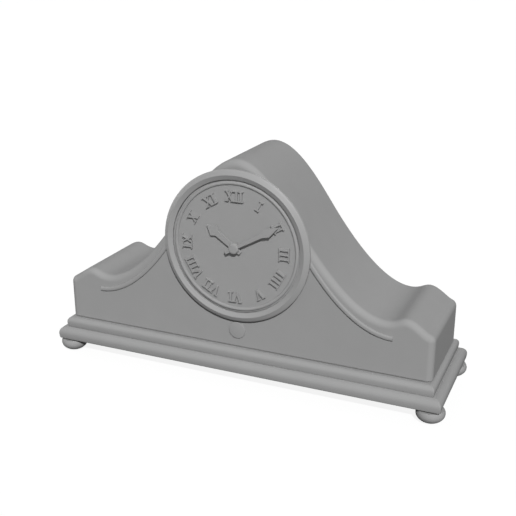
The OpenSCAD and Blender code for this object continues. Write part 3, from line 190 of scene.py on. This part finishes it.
# How the slow changes of tone and the fine grain are drawn, and how far grain is drawn out
TONE_EDGES = (0.3, 0.7)
TONE_DETAIL = 4
GRAIN_DETAIL = 3
GRAIN_DEPTH = 0.02 * MM
BRUSHED = (0.1, 1, 1)
WOOD_GRAIN = (0.08, 1, 1)

# Floor: the tone that lights the clock, and the tone and the glow that the camera sees
FLOOR_SIZE = 30
FLOOR_TONE = 0.18
FLOOR_SHOWN_TONE = 0.14
FLOOR_GLOW = 0.88
# Backdrop: its light, as a share of the white that the camera sees
AMBIENT = 0.15
# Lamps far off: name, azimuth from the front towards +X, elevation, share of the light and
# angular size
LAMPS = (
    ("key_lamp", 29.5, 39.5, 1.13, 2),
    ("back_fill", 188, 3, 0.55, 20),
    ("left_fill", 258, 3, 0.4, 20),
)

# Photograph's camera
PHOTO_PX = 516
CAMERA_FOCAL_PX = 865.42
CAMERA_SENSOR = 36.0
CAMERA_AZIMUTH = 23.47
CAMERA_ELEVATION = 19.8
CAMERA_DISTANCE = 0.63719
CAMERA_AIM = Vector((0.00014, 0, 0.08346))


# Curves and places

def cubic(a, b, c, d, t):
    """A point of a cubic curve."""
    s = 1 - t
    return a * s**3 + b * (3 * s * s * t) + c * (3 * s * t * t) + d * t**3


def arc(centre, radius_x, radius_y, start, end, steps):
    """Points of an elliptical arc, angles in degrees."""
    points = []
    for i in range(steps + 1):
        a = math.radians(start + (end - start) * i / steps)
        points.append((centre[0] + radius_x * math.cos(a), centre[1] + radius_y * math.sin(a)))
    return points


def circle_angles(steps):
    return [2 * math.pi * i / steps for i in range(steps)]


def sized(shares):
    """Points from shares of the case's half length and height."""
    return [Vector((u * HALF_W, v * CASE_H)) for u, v in shares]


def path_normals(path):
    """Outward normals of a path that runs anticlockwise, open at its ends."""
    normals = []
    for i, here in enumerate(path):
        along = Vector((0, 0))
        if i:
            along += (here - path[i - 1]).normalized()
        if i + 1 < len(path):
            along += (path[i + 1] - here).normalized()
        along.normalize()
        normals.append(Vector((along.y, -along.x)))
    return normals


def case_outline():
    """The case's outline, anticlockwise from the foot of its right end to its left one."""
    marks = sized(TOP_LINE_SHARES)
    half = [marks[0]]
    for part, steps in enumerate(TOP_LINE_STEPS):
        ends = marks[3 * part:3 * part + 4]
        half += [cubic(*ends, i / steps) for i in range(1, steps + 1)]
    shoulder = marks[-1]
    along = (marks[-1] - marks[-2]).normalized()
    radius = (HALF_W - shoulder.x) / (1 + along.y)
    centre = shoulder + radius * Vector((along.y, -along.x))
    turn = QUARTER + math.atan2(along.y, along.x)
    for i in range(1, CORNER_STEPS + 1):
        a = turn * (1 - i / CORNER_STEPS)
        half.append(centre + radius * Vector((math.cos(a), math.sin(a))))
    half.append(Vector((HALF_W, 0)))
    return half[::-1] + [Vector((-p.x, p.y)) for p in half[1:]]


OUTLINE = case_outline()
OUTLINE_NORMALS = path_normals(OUTLINE)


def inset_outline(by):
    """The case's outline, moved inwards."""
    return [p - by * n for p, n in zip(OUTLINE, OUTLINE_NORMALS)]


def on_face(x, up, h):
    """World place of a point of the case's face, from the case's foot, at a height off it."""
    return Vector((x, FACE_Y - h, CASE_Z + up))


def on_dial(x, y, h):
    """World place of a point round the dial's centre, at a height off the case's face."""
    return Vector((x, FACE_Y - h, DIAL_Z + y))


def towards(azimuth, elevation):
    """Direction of a place seen from the clock, in degrees from the front towards +X and up."""
    a = math.radians(azimuth)
    e = math.radians(elevation)
    return Vector((math.sin(a) * math.cos(e), -math.cos(a) * math.cos(e), math.sin(e)))


# Meshes

def finish_mesh(name, bm, body, material, replaced=(), slot=None, sharp=SHARP_ANGLE):
    """Turns a bmesh into a piece that rides on a body and stands for CAD nodes."""
    bmesh.ops.remove_doubles(bm, verts=bm.verts, dist=WELD)
    bmesh.ops.recalc_face_normals(bm, faces=bm.faces)
    mesh = bpy.data.meshes.new(name)
    bm.to_mesh(mesh)
    bm.free()
    mesh.shade_smooth()
    mesh.set_sharp_from_angle(angle=math.radians(sharp))
    piece = bpy.data.objects.new(name, mesh)
    bpy.context.scene.collection.objects.link(piece)
    mesh.materials.append(material)
    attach(piece, body)
    if replaced:
        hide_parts(*replaced)
    return piece


def add_ring(bm, points):
    return [bm.verts.new(p) for p in points]


def bridge(bm, ring_a, ring_b, closed=True):
    """Quads between two rings of points."""
    count = len(ring_a)
    for i in range(count if closed else count - 1):
        k = (i + 1) % count
        bm.faces.new((ring_a[i], ring_a[k], ring_b[k], ring_b[i]))


def bridge_all(bm, rings):
    for ring_a, ring_b in zip(rings, rings[1:]):
        bridge(bm, ring_a, ring_b)


def cap_ends(bm, rings):
    for ring in (rings[0], rings[-1]):
        bm.faces.new(ring)


def fan(bm, tip, rim):
    """Triangles from a point to a ring."""
    for here, following in zip(rim, rim[1:] + rim[:1]):
        bm.faces.new((tip, here, following))


def turned(name, profile, place, body, material, closed=False, **kept):
    """A turned piece from (radius, height) points. place(x, y, height) gives world places."""
    bm = bmesh.new()
    rings = []
    for r, h in profile:
        if r < ON_AXIS:
            rings.append([bm.verts.new(place(0, 0, h))])
        else:
            circle = [(r * math.cos(a), r * math.sin(a)) for a in circle_angles(TURN_STEPS)]
            rings.append(add_ring(bm, [place(x, y, h) for x, y in circle]))
    pairs = list(zip(rings, rings[1:]))
    if closed:
        pairs.append((rings[-1], rings[0]))
    for ring_a, ring_b in pairs:
        if len(ring_a) == 1:
            fan(bm, ring_a[0], ring_b)
        elif len(ring_b) == 1:
            fan(bm, ring_b[0], ring_a)
        else:
            bridge(bm, ring_a, ring_b)
    finish_mesh(name, bm, body, material, **kept)


# Materials

def grey(level):
    """A neutral colour from its 8-bit display level."""
    c = level / 255
    linear = c / 12.92 if c <= 0.04045 else ((c + 0.055) / 1.055) ** 2.4
    return (linear, linear, linear, 1)


def finish(name, colour, rough, metallic=0.0, mottle=0.03, mottle_scale=60.0,
           grain=0.0, grain_scale=900.0, stretch=(1, 1, 1), rough_spread=0.06, specular=0.5):
    """A surface with slow changes of tone, a fine grain in its bump, and uneven gloss."""
    material = bpy.data.materials.new(name)
    material.use_nodes = True
    nodes = material.node_tree.nodes
    links = material.node_tree.links
    shader = nodes["Principled BSDF"]
    shader.inputs["Metallic"].default_value = metallic
    shader.inputs["Specular IOR Level"].default_value = specular
    place = nodes.new("ShaderNodeTexCoord")
    mapping = nodes.new("ShaderNodeMapping")
    mapping.inputs["Scale"].default_value = stretch
    links.new(place.outputs["Object"], mapping.inputs["Vector"])

    slow = nodes.new("ShaderNodeTexNoise")
    slow.inputs["Scale"].default_value = mottle_scale
    slow.inputs["Detail"].default_value = TONE_DETAIL
    links.new(place.outputs["Object"], slow.inputs["Vector"])
    tones = nodes.new("ShaderNodeValToRGB")
    low, high = tones.color_ramp.elements
    low.position, high.position = TONE_EDGES
    low.color = [c * (1 - mottle) for c in colour[:3]] + [1]
    high.color = [min(1, c * (1 + mottle)) for c in colour[:3]] + [1]
    links.new(slow.outputs["Fac"], tones.inputs["Fac"])
    links.new(tones.outputs["Color"], shader.inputs["Base Color"])

    fine = nodes.new("ShaderNodeTexNoise")
    fine.inputs["Scale"].default_value = grain_scale
    fine.inputs["Detail"].default_value = GRAIN_DETAIL
    links.new(mapping.outputs["Vector"], fine.inputs["Vector"])
    gloss = nodes.new("ShaderNodeMapRange")
    gloss.inputs["To Min"].default_value = rough - rough_spread
    gloss.inputs["To Max"].default_value = rough + rough_spread
    links.new(fine.outputs["Fac"], gloss.inputs["Value"])
    links.new(gloss.outputs["Result"], shader.inputs["Roughness"])
    if grain:
        bump = nodes.new("ShaderNodeBump")
        bump.inputs["Strength"].default_value = grain
        bump.inputs["Distance"].default_value = GRAIN_DEPTH
        links.new(fine.outputs["Fac"], bump.inputs["Height"])
        links.new(bump.outputs["Normal"], shader.inputs["Normal"])
    return material


def dull_paint(name, **look):
    """The photograph's one grey, without gloss."""
    return finish(name, grey(PAINT_LEVEL), rough=PAINT_ROUGH, specular=0.0, **look)


def clear_glass():
    """Thin clear glass that lets the dial show as it is, with a faint sheen."""
    material = finish("clear_glass", grey(GLASS_LEVEL), rough=0.06, mottle=0.01,
                      rough_spread=0.02)
    material.node_tree.nodes["Principled BSDF"].inputs["Alpha"].default_value = GLASS_ALPHA
    return material


CASE_GREY = dull_paint("case_lacquer", mottle=0.012, grain=0.15)
TRIM_GREY = dull_paint("trim_lacquer", mottle=0.012, grain=0.15)
BEZEL_GREY = finish("bezel_enamel", grey(PAINT_LEVEL), rough=0.5, mottle=0.01, grain=0.1,
                    specular=0.25)
DIAL_GREY = dull_paint("dial_paint", mottle=0.01, grain=0.12, grain_scale=1400)
HAND_GREY = dull_paint("hand_paint", mottle=0.01, grain=0.08)
NUMERAL_GREY = dull_paint("numeral_paint", mottle=0.01, grain=0.08)
BARE_WOOD = finish("bare_wood", WOOD_COLOUR, rough=0.7, mottle=0.25, mottle_scale=30,
                   grain=0.5, grain_scale=500, stretch=WOOD_GRAIN)
BRASS = finish("lacquered_brass", BRASS_COLOUR, rough=0.3, metallic=1, mottle=0.06,
               grain=0.12, stretch=BRUSHED, rough_spread=0.08)
STEEL = finish("polished_steel", STEEL_COLOUR, rough=0.26, metallic=1, mottle=0.04,
               grain=0.08, stretch=BRUSHED)
BLUE_STEEL = finish("blued_steel", BLUED_COLOUR, rough=0.28, metallic=1, mottle=0.2)
GLASS = clear_glass()

MATERIAL_OF_SLOT = {
    "case_wood": CASE_GREY, "trim_grey": TRIM_GREY, "bezel_metal": BEZEL_GREY,
    "dial_face": DIAL_GREY, "hand_steel": HAND_GREY, "numeral_paint": NUMERAL_GREY,
    "glass": GLASS, "brass": BRASS, "steel": STEEL, "blue_steel": BLUE_STEEL,
    "block_wood": BARE_WOOD,
}
# The hour wheel's pipe shows below the hour hand
MATERIAL_OF_NODE = {"hour_wheel": HAND_GREY}


def dress_nodes():
    """Gives every carried-over node the material of its slot in the record."""
    for row in frame["record"]["subparts"]:
        node = row["node"]
        mesh = frame["nodes"][node].data
        mesh.materials.clear()
        mesh.materials.append(MATERIAL_OF_NODE.get(node, MATERIAL_OF_SLOT[row["material_slot"]]))


# Case

def bore_ring(bm, radius, y):
    """A ring of points round the dial's axis, at a depth of the case."""
    return add_ring(bm, [
        Vector((radius * math.cos(a), y, DIAL_Z + radius * math.sin(a)))
        for a in circle_angles(BORE_STEPS)
    ])


def ring_edges(bm, ring):
    """The edges round a ring, made where there are none yet."""
    pairs = zip(ring, ring[1:] + ring[:1])
    return [bm.edges.get(pair) or bm.edges.new(pair) for pair in pairs]


def soften_foot(bm):
    """Rounds the outer edges that stand on the plinth, from cuts at close heights."""
    cuts = [
        FOOT_SOFT_R * (1 - math.sin(QUARTER * i / FOOT_SOFT_STEPS))
        for i in range(FOOT_SOFT_STEPS)
    ]
    for up in cuts + [FOOT_SOFT_R + EDGE_SUPPORT]:
        bmesh.ops.bisect_plane(bm, geom=bm.verts[:] + bm.edges[:] + bm.faces[:], dist=WELD,
                               plane_co=(0, 0, CASE_Z + up), plane_no=(0, 0, 1))
    mid_y = (FACE_Y + REAR_Y) / 2
    flat_x = HALF_W - EDGE_R
    flat_y = REAR_Y - mid_y - EDGE_R
    for vert in bm.verts:
        rise = vert.co.z - CASE_Z
        if rise > FOOT_SOFT_R:
            continue
        by = FOOT_SOFT_R - math.sqrt(max(0, FOOT_SOFT_R**2 - (FOOT_SOFT_R - rise) ** 2))
        # How far the point lies out past the corner's centre, kept within the drawn-in corner
        past_x = abs(vert.co.x) - flat_x
        past_y = abs(vert.co.y - mid_y) - flat_y
        out = Vector((max(0, past_x), max(0, past_y)))
        if out.length <= EDGE_R - by:
            continue
        out *= (EDGE_R - by) / out.length
        if past_x > 0:
            vert.co.x = math.copysign(flat_x + out.x, vert.co.x)
        if past_y > 0:
            vert.co.y = mid_y + math.copysign(flat_y + out.y, vert.co.y - mid_y)


def board(name, node, outer_y, towards_inside, bore_r):
    """A front or back board: shaped, with a rounded arris and a round opening."""
    levels = [(0, BOARD_T), (0, EDGE_R + EDGE_SUPPORT)]
    for i in range(EDGE_STEPS + 1):
        a = QUARTER * i / EDGE_STEPS
        levels.append((EDGE_R * (1 - math.cos(a)), EDGE_R * (1 - math.sin(a))))
    levels.append((EDGE_R + EDGE_SUPPORT, 0))
    bm = bmesh.new()
    rings = []
    for by, depth in levels:
        y = outer_y + towards_inside * depth
        rings.append(add_ring(bm, [Vector((p.x, y, CASE_Z + p.y)) for p in inset_outline(by)]))
    bridge_all(bm, rings)
    inner_bore = bore_ring(bm, bore_r, outer_y + towards_inside * BOARD_T)
    outer_bore = bore_ring(bm, bore_r, outer_y)
    bridge(bm, inner_bore, outer_bore)
    for ring, bore in ((rings[0], inner_bore), (rings[-1], outer_bore)):
        edges = ring_edges(bm, ring) + ring_edges(bm, bore)
        bmesh.ops.triangle_fill(bm, use_beauty=True, edges=edges)
    soften_foot(bm)
    finish_mesh(name, bm, "case", CASE_GREY, replaced=(node,), slot="case_wood")


def bent_top():
    """The bent top and ends between the two boards."""
    bm = bmesh.new()
    inner = inset_outline(WRAP_T)
    inner[0].y = inner[-1].y = 0
    walls = []
    for path in (OUTLINE, inner):
        walls.append([
            add_ring(bm, [Vector((p.x, y, CASE_Z + p.y)) for p in path])
            for y in (FACE_Y + BOARD_T, REAR_Y - BOARD_T)
        ])
    (outer_front, outer_rear), (inner_front, inner_rear) = walls
    bridge(bm, outer_front, outer_rear, closed=False)
    bridge(bm, inner_rear, inner_front, closed=False)
    bridge(bm, inner_front, outer_front, closed=False)
    bridge(bm, outer_rear, inner_rear, closed=False)
    for end in (0, -1):
        bm.faces.new((outer_front[end], outer_rear[end], inner_rear[end], inner_front[end]))
    soften_foot(bm)
    finish_mesh("bent_top", bm, "case", CASE_GREY, replaced=("case_wrap",), slot="case_wood")


def bead_strip(name, node, side, start_gap):
    """A raised strip whose long lines all start at a distance from the bezel's rim."""
    marks = sized(BEAD_LINE_SHARES)
    bead_h = FACE_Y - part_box(node)[0].y
    dial_up = DIAL_Z - CASE_Z

    def place(t, across):
        """A point of the face, at a share of the lower edge and a distance across from it."""
        here = cubic(*marks, t)
        along = (cubic(*marks, t + BEAD_AHEAD_SHARE) - here).normalized()
        return here + across * Vector((-along.y, along.x))

    def start(across):
        """Share at which a long line leaves the bezel's rim and the gap round it."""
        low, high = 0.0, BEAD_SEARCH_SHARE
        for _ in range(BEAD_SEARCH_HALVINGS):
            mid = (low + high) / 2
            p = place(mid, across)
            if math.hypot(p.x, p.y - dial_up) < BEZEL_R + start_gap:
                low = mid
            else:
                high = mid
        return high

    section = []
    for i in range(BEAD_SECTION_STEPS + 1):
        u = -math.cos(math.pi * i / BEAD_SECTION_STEPS)
        rise = (1 - abs(u) ** BEAD_ROUNDNESS) ** (1 / BEAD_ROUNDNESS)
        section.append((BEAD_W * (1 + u) / 2, bead_h * rise))
    starts = [start(across) for across, _ in section]
    bm = bmesh.new()
    rings = []
    for i in range(BEAD_STEPS + 1):
        ring = []
        for (across, h), first in zip(section, starts):
            p = place(first + (1 - first) * i / BEAD_STEPS, across)
            ring.append(on_face(side * p.x, p.y, h))
        rings.append(add_ring(bm, ring))
    bridge_all(bm, rings)
    cap_ends(bm, rings)
    finish_mesh(name, bm, "case", CASE_GREY, replaced=(node,), slot="case_wood",
                sharp=BEAD_SHARP_ANGLE)


# Plinth and feet

def rounded_rectangle(half_x, half_y):
    """Points of a rectangle, its corners rounded a little."""
    points = []
    for quarter, (side_x, side_y) in enumerate(((1, 1), (-1, 1), (-1, -1), (1, -1))):
        centre = (side_x * (half_x - TIER_CORNER_R), side_y * (half_y - TIER_CORNER_R))
        points += arc(centre, TIER_CORNER_R, TIER_CORNER_R, 90 * quarter, 90 * quarter + 90,
                      TIER_CORNER_STEPS)
    return points


def tier(name, node, draw_in, lift):
    """A plinth board: its nose draws in towards its foot, and a lift slopes its underside."""
    low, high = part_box(node)
    nose = NOSE_SHARE * (high.z - low.z)
    nose_z = high.z - nose
    foot_z = low.z + lift
    profile = [(draw_in + nose + UNDER_RUN * lift, low.z)]
    if lift:
        profile.append((draw_in + UNDER_RUN * lift, low.z))
    profile += [
        (draw_in + UNDER_SOFT_R - x, z)
        for x, z in arc((0, foot_z + UNDER_SOFT_R), UNDER_SOFT_R, UNDER_SOFT_R,
                        UNDER_SOFT_START, UNDER_SOFT_END, UNDER_SOFT_STEPS)
    ]
    for i in range(WALL_STEPS, 0, -1):
        down = WALL_SHARE * i / WALL_STEPS
        profile.append((draw_in * down * down, nose_z - (nose_z - foot_z) * down))
    profile += [(nose - x, z) for x, z in arc((0, nose_z), nose, nose, 0, 90, NOSE_STEPS)]
    profile.append((nose + EDGE_SUPPORT, high.z))
    bm = bmesh.new()
    rings = []
    for inset, z in profile:
        ring = rounded_rectangle(high.x - inset, high.y - inset)
        rings.append(add_ring(bm, [Vector((x, y, z)) for x, y in ring]))
    bridge_all(bm, rings)
    cap_ends(bm, rings)
    finish_mesh(name, bm, "case", CASE_GREY, replaced=(node,), slot="case_wood")


def ball_foot(name, node):
    """A flattened ball, turned with the peg that holds it."""
    low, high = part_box(node)
    centre = (low + high) / 2
    plinth_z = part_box("plinth_lower")[0].z
    radius = (high.x - low.x) / 2
    first = math.degrees(math.asin(-BALL_MID_H / BALL_HALF_H))
    last = math.degrees(math.asin((plinth_z - BALL_MID_H) / BALL_HALF_H))
    profile = [(0, 0), (radius * math.cos(math.radians(first)) - PEG_SOFT_R, 0)]
    profile += arc((0, BALL_MID_H), radius, BALL_HALF_H, first, last, BALL_STEPS)
    profile += [(PEG_R, plinth_z), (PEG_R, high.z - PEG_SOFT_R),
                (PEG_R - PEG_SOFT_R, high.z), (0, high.z)]

    def place(x, y, h):
        return Vector((centre.x + x, centre.y + y, h))

    turned(name, profile, place, "case", CASE_GREY, replaced=(node,), slot="case_wood")


# Dial side

def eased(points, by):
    """A section with small rounds at its inner corners, each kept between two close points."""
    path = [points[0]]
    for before, here, after in zip(points, points[1:], points[2:]):
        here = Vector(here)
        back = (Vector(before) - here).normalized()
        on = (Vector(after) - here).normalized()
        path.append(here + EASE_SUPPORT * by * back)
        for i in range(EASE_STEPS + 1):
            t = i / EASE_STEPS
            path.append(here + by * ((1 - t) ** 2 * back + t**2 * on))
        path.append(here + EASE_SUPPORT * by * on)
    return [tuple(p) for p in path] + [points[-1]]


def bezel_ring():
    """The bezel: outer wall, chamfer, two flats that meet in a crest, and the glass's rebate."""
    lip_r = DIAL_R + LIP_RUN
    rebate_r = DIAL_R + REBATE_RUN
    flat_h = CREST_H - FLAT_DROP
    profile = eased([
        (rebate_r, BEZEL_SEAT_H), (BEZEL_R, BEZEL_SEAT_H),
        (BEZEL_R, BEZEL_SEAT_H + BEZEL_WALL_H), (BEZEL_R - CHAMFER_RUN, flat_h),
        (BEZEL_R - CREST_RUN, CREST_H), (lip_r, flat_h),
    ], BEZEL_SOFT_R)
    profile += [(lip_r, flat_h - LIP_T), (rebate_r, flat_h - LIP_T)]
    turned("bezel_ring", profile, on_dial, "bezel", BEZEL_GREY, closed=True,
           replaced=("bezel",), slot="bezel_metal", sharp=BEZEL_SHARP_ANGLE)


def dial_rim():
    """The half-round ring round the dial's edge."""
    low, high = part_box("sight_ring")
    rise = FACE_Y - low.y - DIAL_H + RIM_EXTRA
    profile = arc((high.x - RIM_W / 2, DIAL_H), RIM_W / 2, rise, 0, 180, RIM_STEPS)
    turned("dial_rim", profile, on_dial, "case", DIAL_GREY, closed=True,
           replaced=("sight_ring",), slot="dial_face")


def front_roundel():
    """The thin plain disc below the bezel."""
    low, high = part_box("roundel")
    middle = (low.z + high.z) / 2
    rise = FACE_Y - low.y
    soft = ROUNDEL_SOFT_R
    profile = [(0, 0), (high.x, 0), (high.x, rise - soft)]
    profile += arc((high.x - soft, rise - soft), soft, soft, 0, 90, ROUNDEL_SOFT_STEPS)[1:]
    profile.append((0, rise))

    def place(x, y, h):
        return Vector((x, FACE_Y - h, middle + y))

    turned("front_roundel", profile, place, "case", TRIM_GREY, replaced=("roundel",),
           slot="trim_grey")


def cap_of_hands():
    """The round cap that holds the hands: a wall, a round shoulder and a flat top."""
    low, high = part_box("hand_cap")
    seat_h = FACE_Y - high.y
    rise = high.y - low.y
    flat_r = high.x * CAP_FLAT_SHARE
    wall_h = rise * CAP_WALL_SHARE
    profile = [(0, seat_h), (high.x, seat_h)]
    profile += arc((flat_r, seat_h + wall_h), high.x - flat_r, rise - wall_h, 0, 90, CAP_STEPS)
    profile.append((0, seat_h + rise))
    turned("cap_of_hands", profile, on_dial, "centre", HAND_GREY, replaced=("hand_cap",),
           slot="hand_steel")


def domed_glass():
    """The domed glass with its flat foot, of one thickness along Y."""
    low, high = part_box("bezel_glass")
    seat_h = FACE_Y - high.y
    rise = FACE_Y - low.y - seat_h - GLASS_T
    dome_r = high.x - GLASS_FOOT_W
    dome = []
    for i in range(DOME_STEPS + 1):
        share = i / DOME_STEPS
        dome.append((dome_r * share, rise * (1 - share**DOME_POWER)))
    profile = [(r, seat_h + h) for r, h in dome]
    profile += [(high.x, seat_h), (high.x, seat_h + GLASS_T)]
    profile += [(r, seat_h + GLASS_T + h) for r, h in reversed(dome)]
    turned("domed_glass", profile, on_dial, "bezel", GLASS, replaced=("bezel_glass",),
           slot="glass")


def deepened(name, node, body, slot, front, back, width):
    """A flat node's form as a piece of its own, with more depth and with small rounds."""
    source = frame["nodes"][node]
    low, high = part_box(node)
    middle = (low.y + high.y) / 2
    bm = bmesh.new()
    bm.from_mesh(source.data)
    bmesh.ops.transform(bm, matrix=source.matrix_world, verts=bm.verts)
    for vert in bm.verts:
        vert.co.y += -front if vert.co.y < middle else back
    piece = finish_mesh(name, bm, body, MATERIAL_OF_SLOT[slot], replaced=(node,), slot=slot)
    bevel = piece.modifiers.new("edge", "BEVEL")
    bevel.width = width
    bevel.segments = SOFT_SEGMENTS
    bevel.limit_method = "ANGLE"
    bevel.angle_limit = math.radians(SOFT_ANGLE)
    bevel.harden_normals = False
    piece.modifiers.new("normals", "WEIGHTED_NORMAL").keep_sharp = True


# Floor, lights and camera

def seen_directly(nodes, links):
    """Socket that is 1 for camera, glossy and transmission rays."""
    path = nodes.new("ShaderNodeLightPath")
    total = path.outputs["Is Camera Ray"]
    for ray in ("Is Glossy Ray", "Is Transmission Ray"):
        add = nodes.new("ShaderNodeMath")
        add.operation = "MAXIMUM"
        links.new(total, add.inputs[0])
        links.new(path.outputs[ray], add.inputs[1])
        total = add.outputs["Value"]
    return total


def diffuse(nodes, tone):
    shader = nodes.new("ShaderNodeBsdfDiffuse")
    shader.inputs["Color"].default_value = (tone, tone, tone, 1)
    return shader


def pale_floor():
    """A plain floor that shows white and keeps a soft shadow."""
    material = bpy.data.materials.new("pale_floor")
    material.use_nodes = True
    nodes = material.node_tree.nodes
    links = material.node_tree.links
    nodes.remove(nodes["Principled BSDF"])
    real = diffuse(nodes, FLOOR_TONE)
    shown = diffuse(nodes, FLOOR_SHOWN_TONE)
    glow = nodes.new("ShaderNodeEmission")
    glow.inputs["Color"].default_value = (1, 1, 1, 1)
    glow.inputs["Strength"].default_value = FLOOR_GLOW
    both = nodes.new("ShaderNodeAddShader")
    links.new(shown.outputs["BSDF"], both.inputs[0])
    links.new(glow.outputs["Emission"], both.inputs[1])
    pick = nodes.new("ShaderNodeMixShader")
    links.new(seen_directly(nodes, links), pick.inputs["Fac"])
    links.new(real.outputs["BSDF"], pick.inputs[1])
    links.new(both.outputs["Shader"], pick.inputs[2])
    links.new(pick.outputs["Shader"], nodes["Material Output"].inputs["Surface"])
    bpy.ops.mesh.primitive_plane_add(size=FLOOR_SIZE)
    floor = bpy.context.active_object
    floor.name = "floor"
    floor.data.materials.append(material)


def studio():
    """A white backdrop with little light of its own, and the lamps."""
    world = bpy.data.worlds.new("studio")
    bpy.context.scene.world = world
    world.use_nodes = True
    nodes = world.node_tree.nodes
    links = world.node_tree.links
    backdrop = nodes["Background"]
    backdrop.inputs["Color"].default_value = (1, 1, 1, 1)
    level = nodes.new("ShaderNodeMapRange")
    level.inputs["To Min"].default_value = AMBIENT
    level.inputs["To Max"].default_value = 1
    links.new(seen_directly(nodes, links), level.inputs["Value"])
    links.new(level.outputs["Result"], backdrop.inputs["Strength"])
    for name, azimuth, elevation, share, size in LAMPS:
        lamp = bpy.data.lights.new(name, "SUN")
        lamp.energy = share * math.pi
        lamp.angle = math.radians(size)
        holder = bpy.data.objects.new(name, lamp)
        holder.rotation_euler = towards(azimuth, elevation).to_track_quat("Z", "Y").to_euler()
        bpy.context.scene.collection.objects.link(holder)


def photo_camera():
    """The camera that was fitted to the photograph."""
    away = towards(CAMERA_AZIMUTH, CAMERA_ELEVATION)
    lens = bpy.data.cameras.new("photo_camera")
    lens.sensor_width = CAMERA_SENSOR
    lens.lens = CAMERA_FOCAL_PX / PHOTO_PX * CAMERA_SENSOR
    camera = bpy.data.objects.new("photo_camera", lens)
    camera.location = CAMERA_AIM + CAMERA_DISTANCE * away
    camera.rotation_euler = away.to_track_quat("Z", "Y").to_euler()
    bpy.context.scene.collection.objects.link(camera)
    bpy.context.scene.camera = camera


photo_camera()
dress_nodes()
board("front_board", "case_front", FACE_Y, 1, FRONT_BORE_R)
board("back_board", "case_back", REAR_Y, -1, DOOR_BORE_R)
bent_top()
bead_strip("bead_strip_right", "bead_right", 1, BEAD_GAP)
bead_strip("bead_strip_left", "bead_left", -1, BEZEL_SWING_GAP)
tier("upper_tier", "plinth_upper", UPPER_DRAW_IN, 0)
tier("lower_tier", "plinth_lower", LOWER_DRAW_IN, LOWER_LIFT)
for corner in ("front_left", "front_right", "back_left", "back_right"):
    ball_foot("ball_foot_" + corner, "foot_" + corner)
bezel_ring()
dial_rim()
front_roundel()
cap_of_hands()
domed_glass()
deepened("raised_numerals", "numerals", "case", "numeral_paint", NUMERAL_FRONT, 0, NUMERAL_SOFT_R)
deepened("short_hand", "hour_hand", "hour", "hand_steel", 0, HOUR_BACK, HAND_SOFT_R)
deepened("long_hand", "minute_hand", "centre", "hand_steel", MINUTE_FRONT, 0, HAND_SOFT_R)
pale_floor()
studio()
bpy.context.scene.view_settings.view_transform = "Standard"
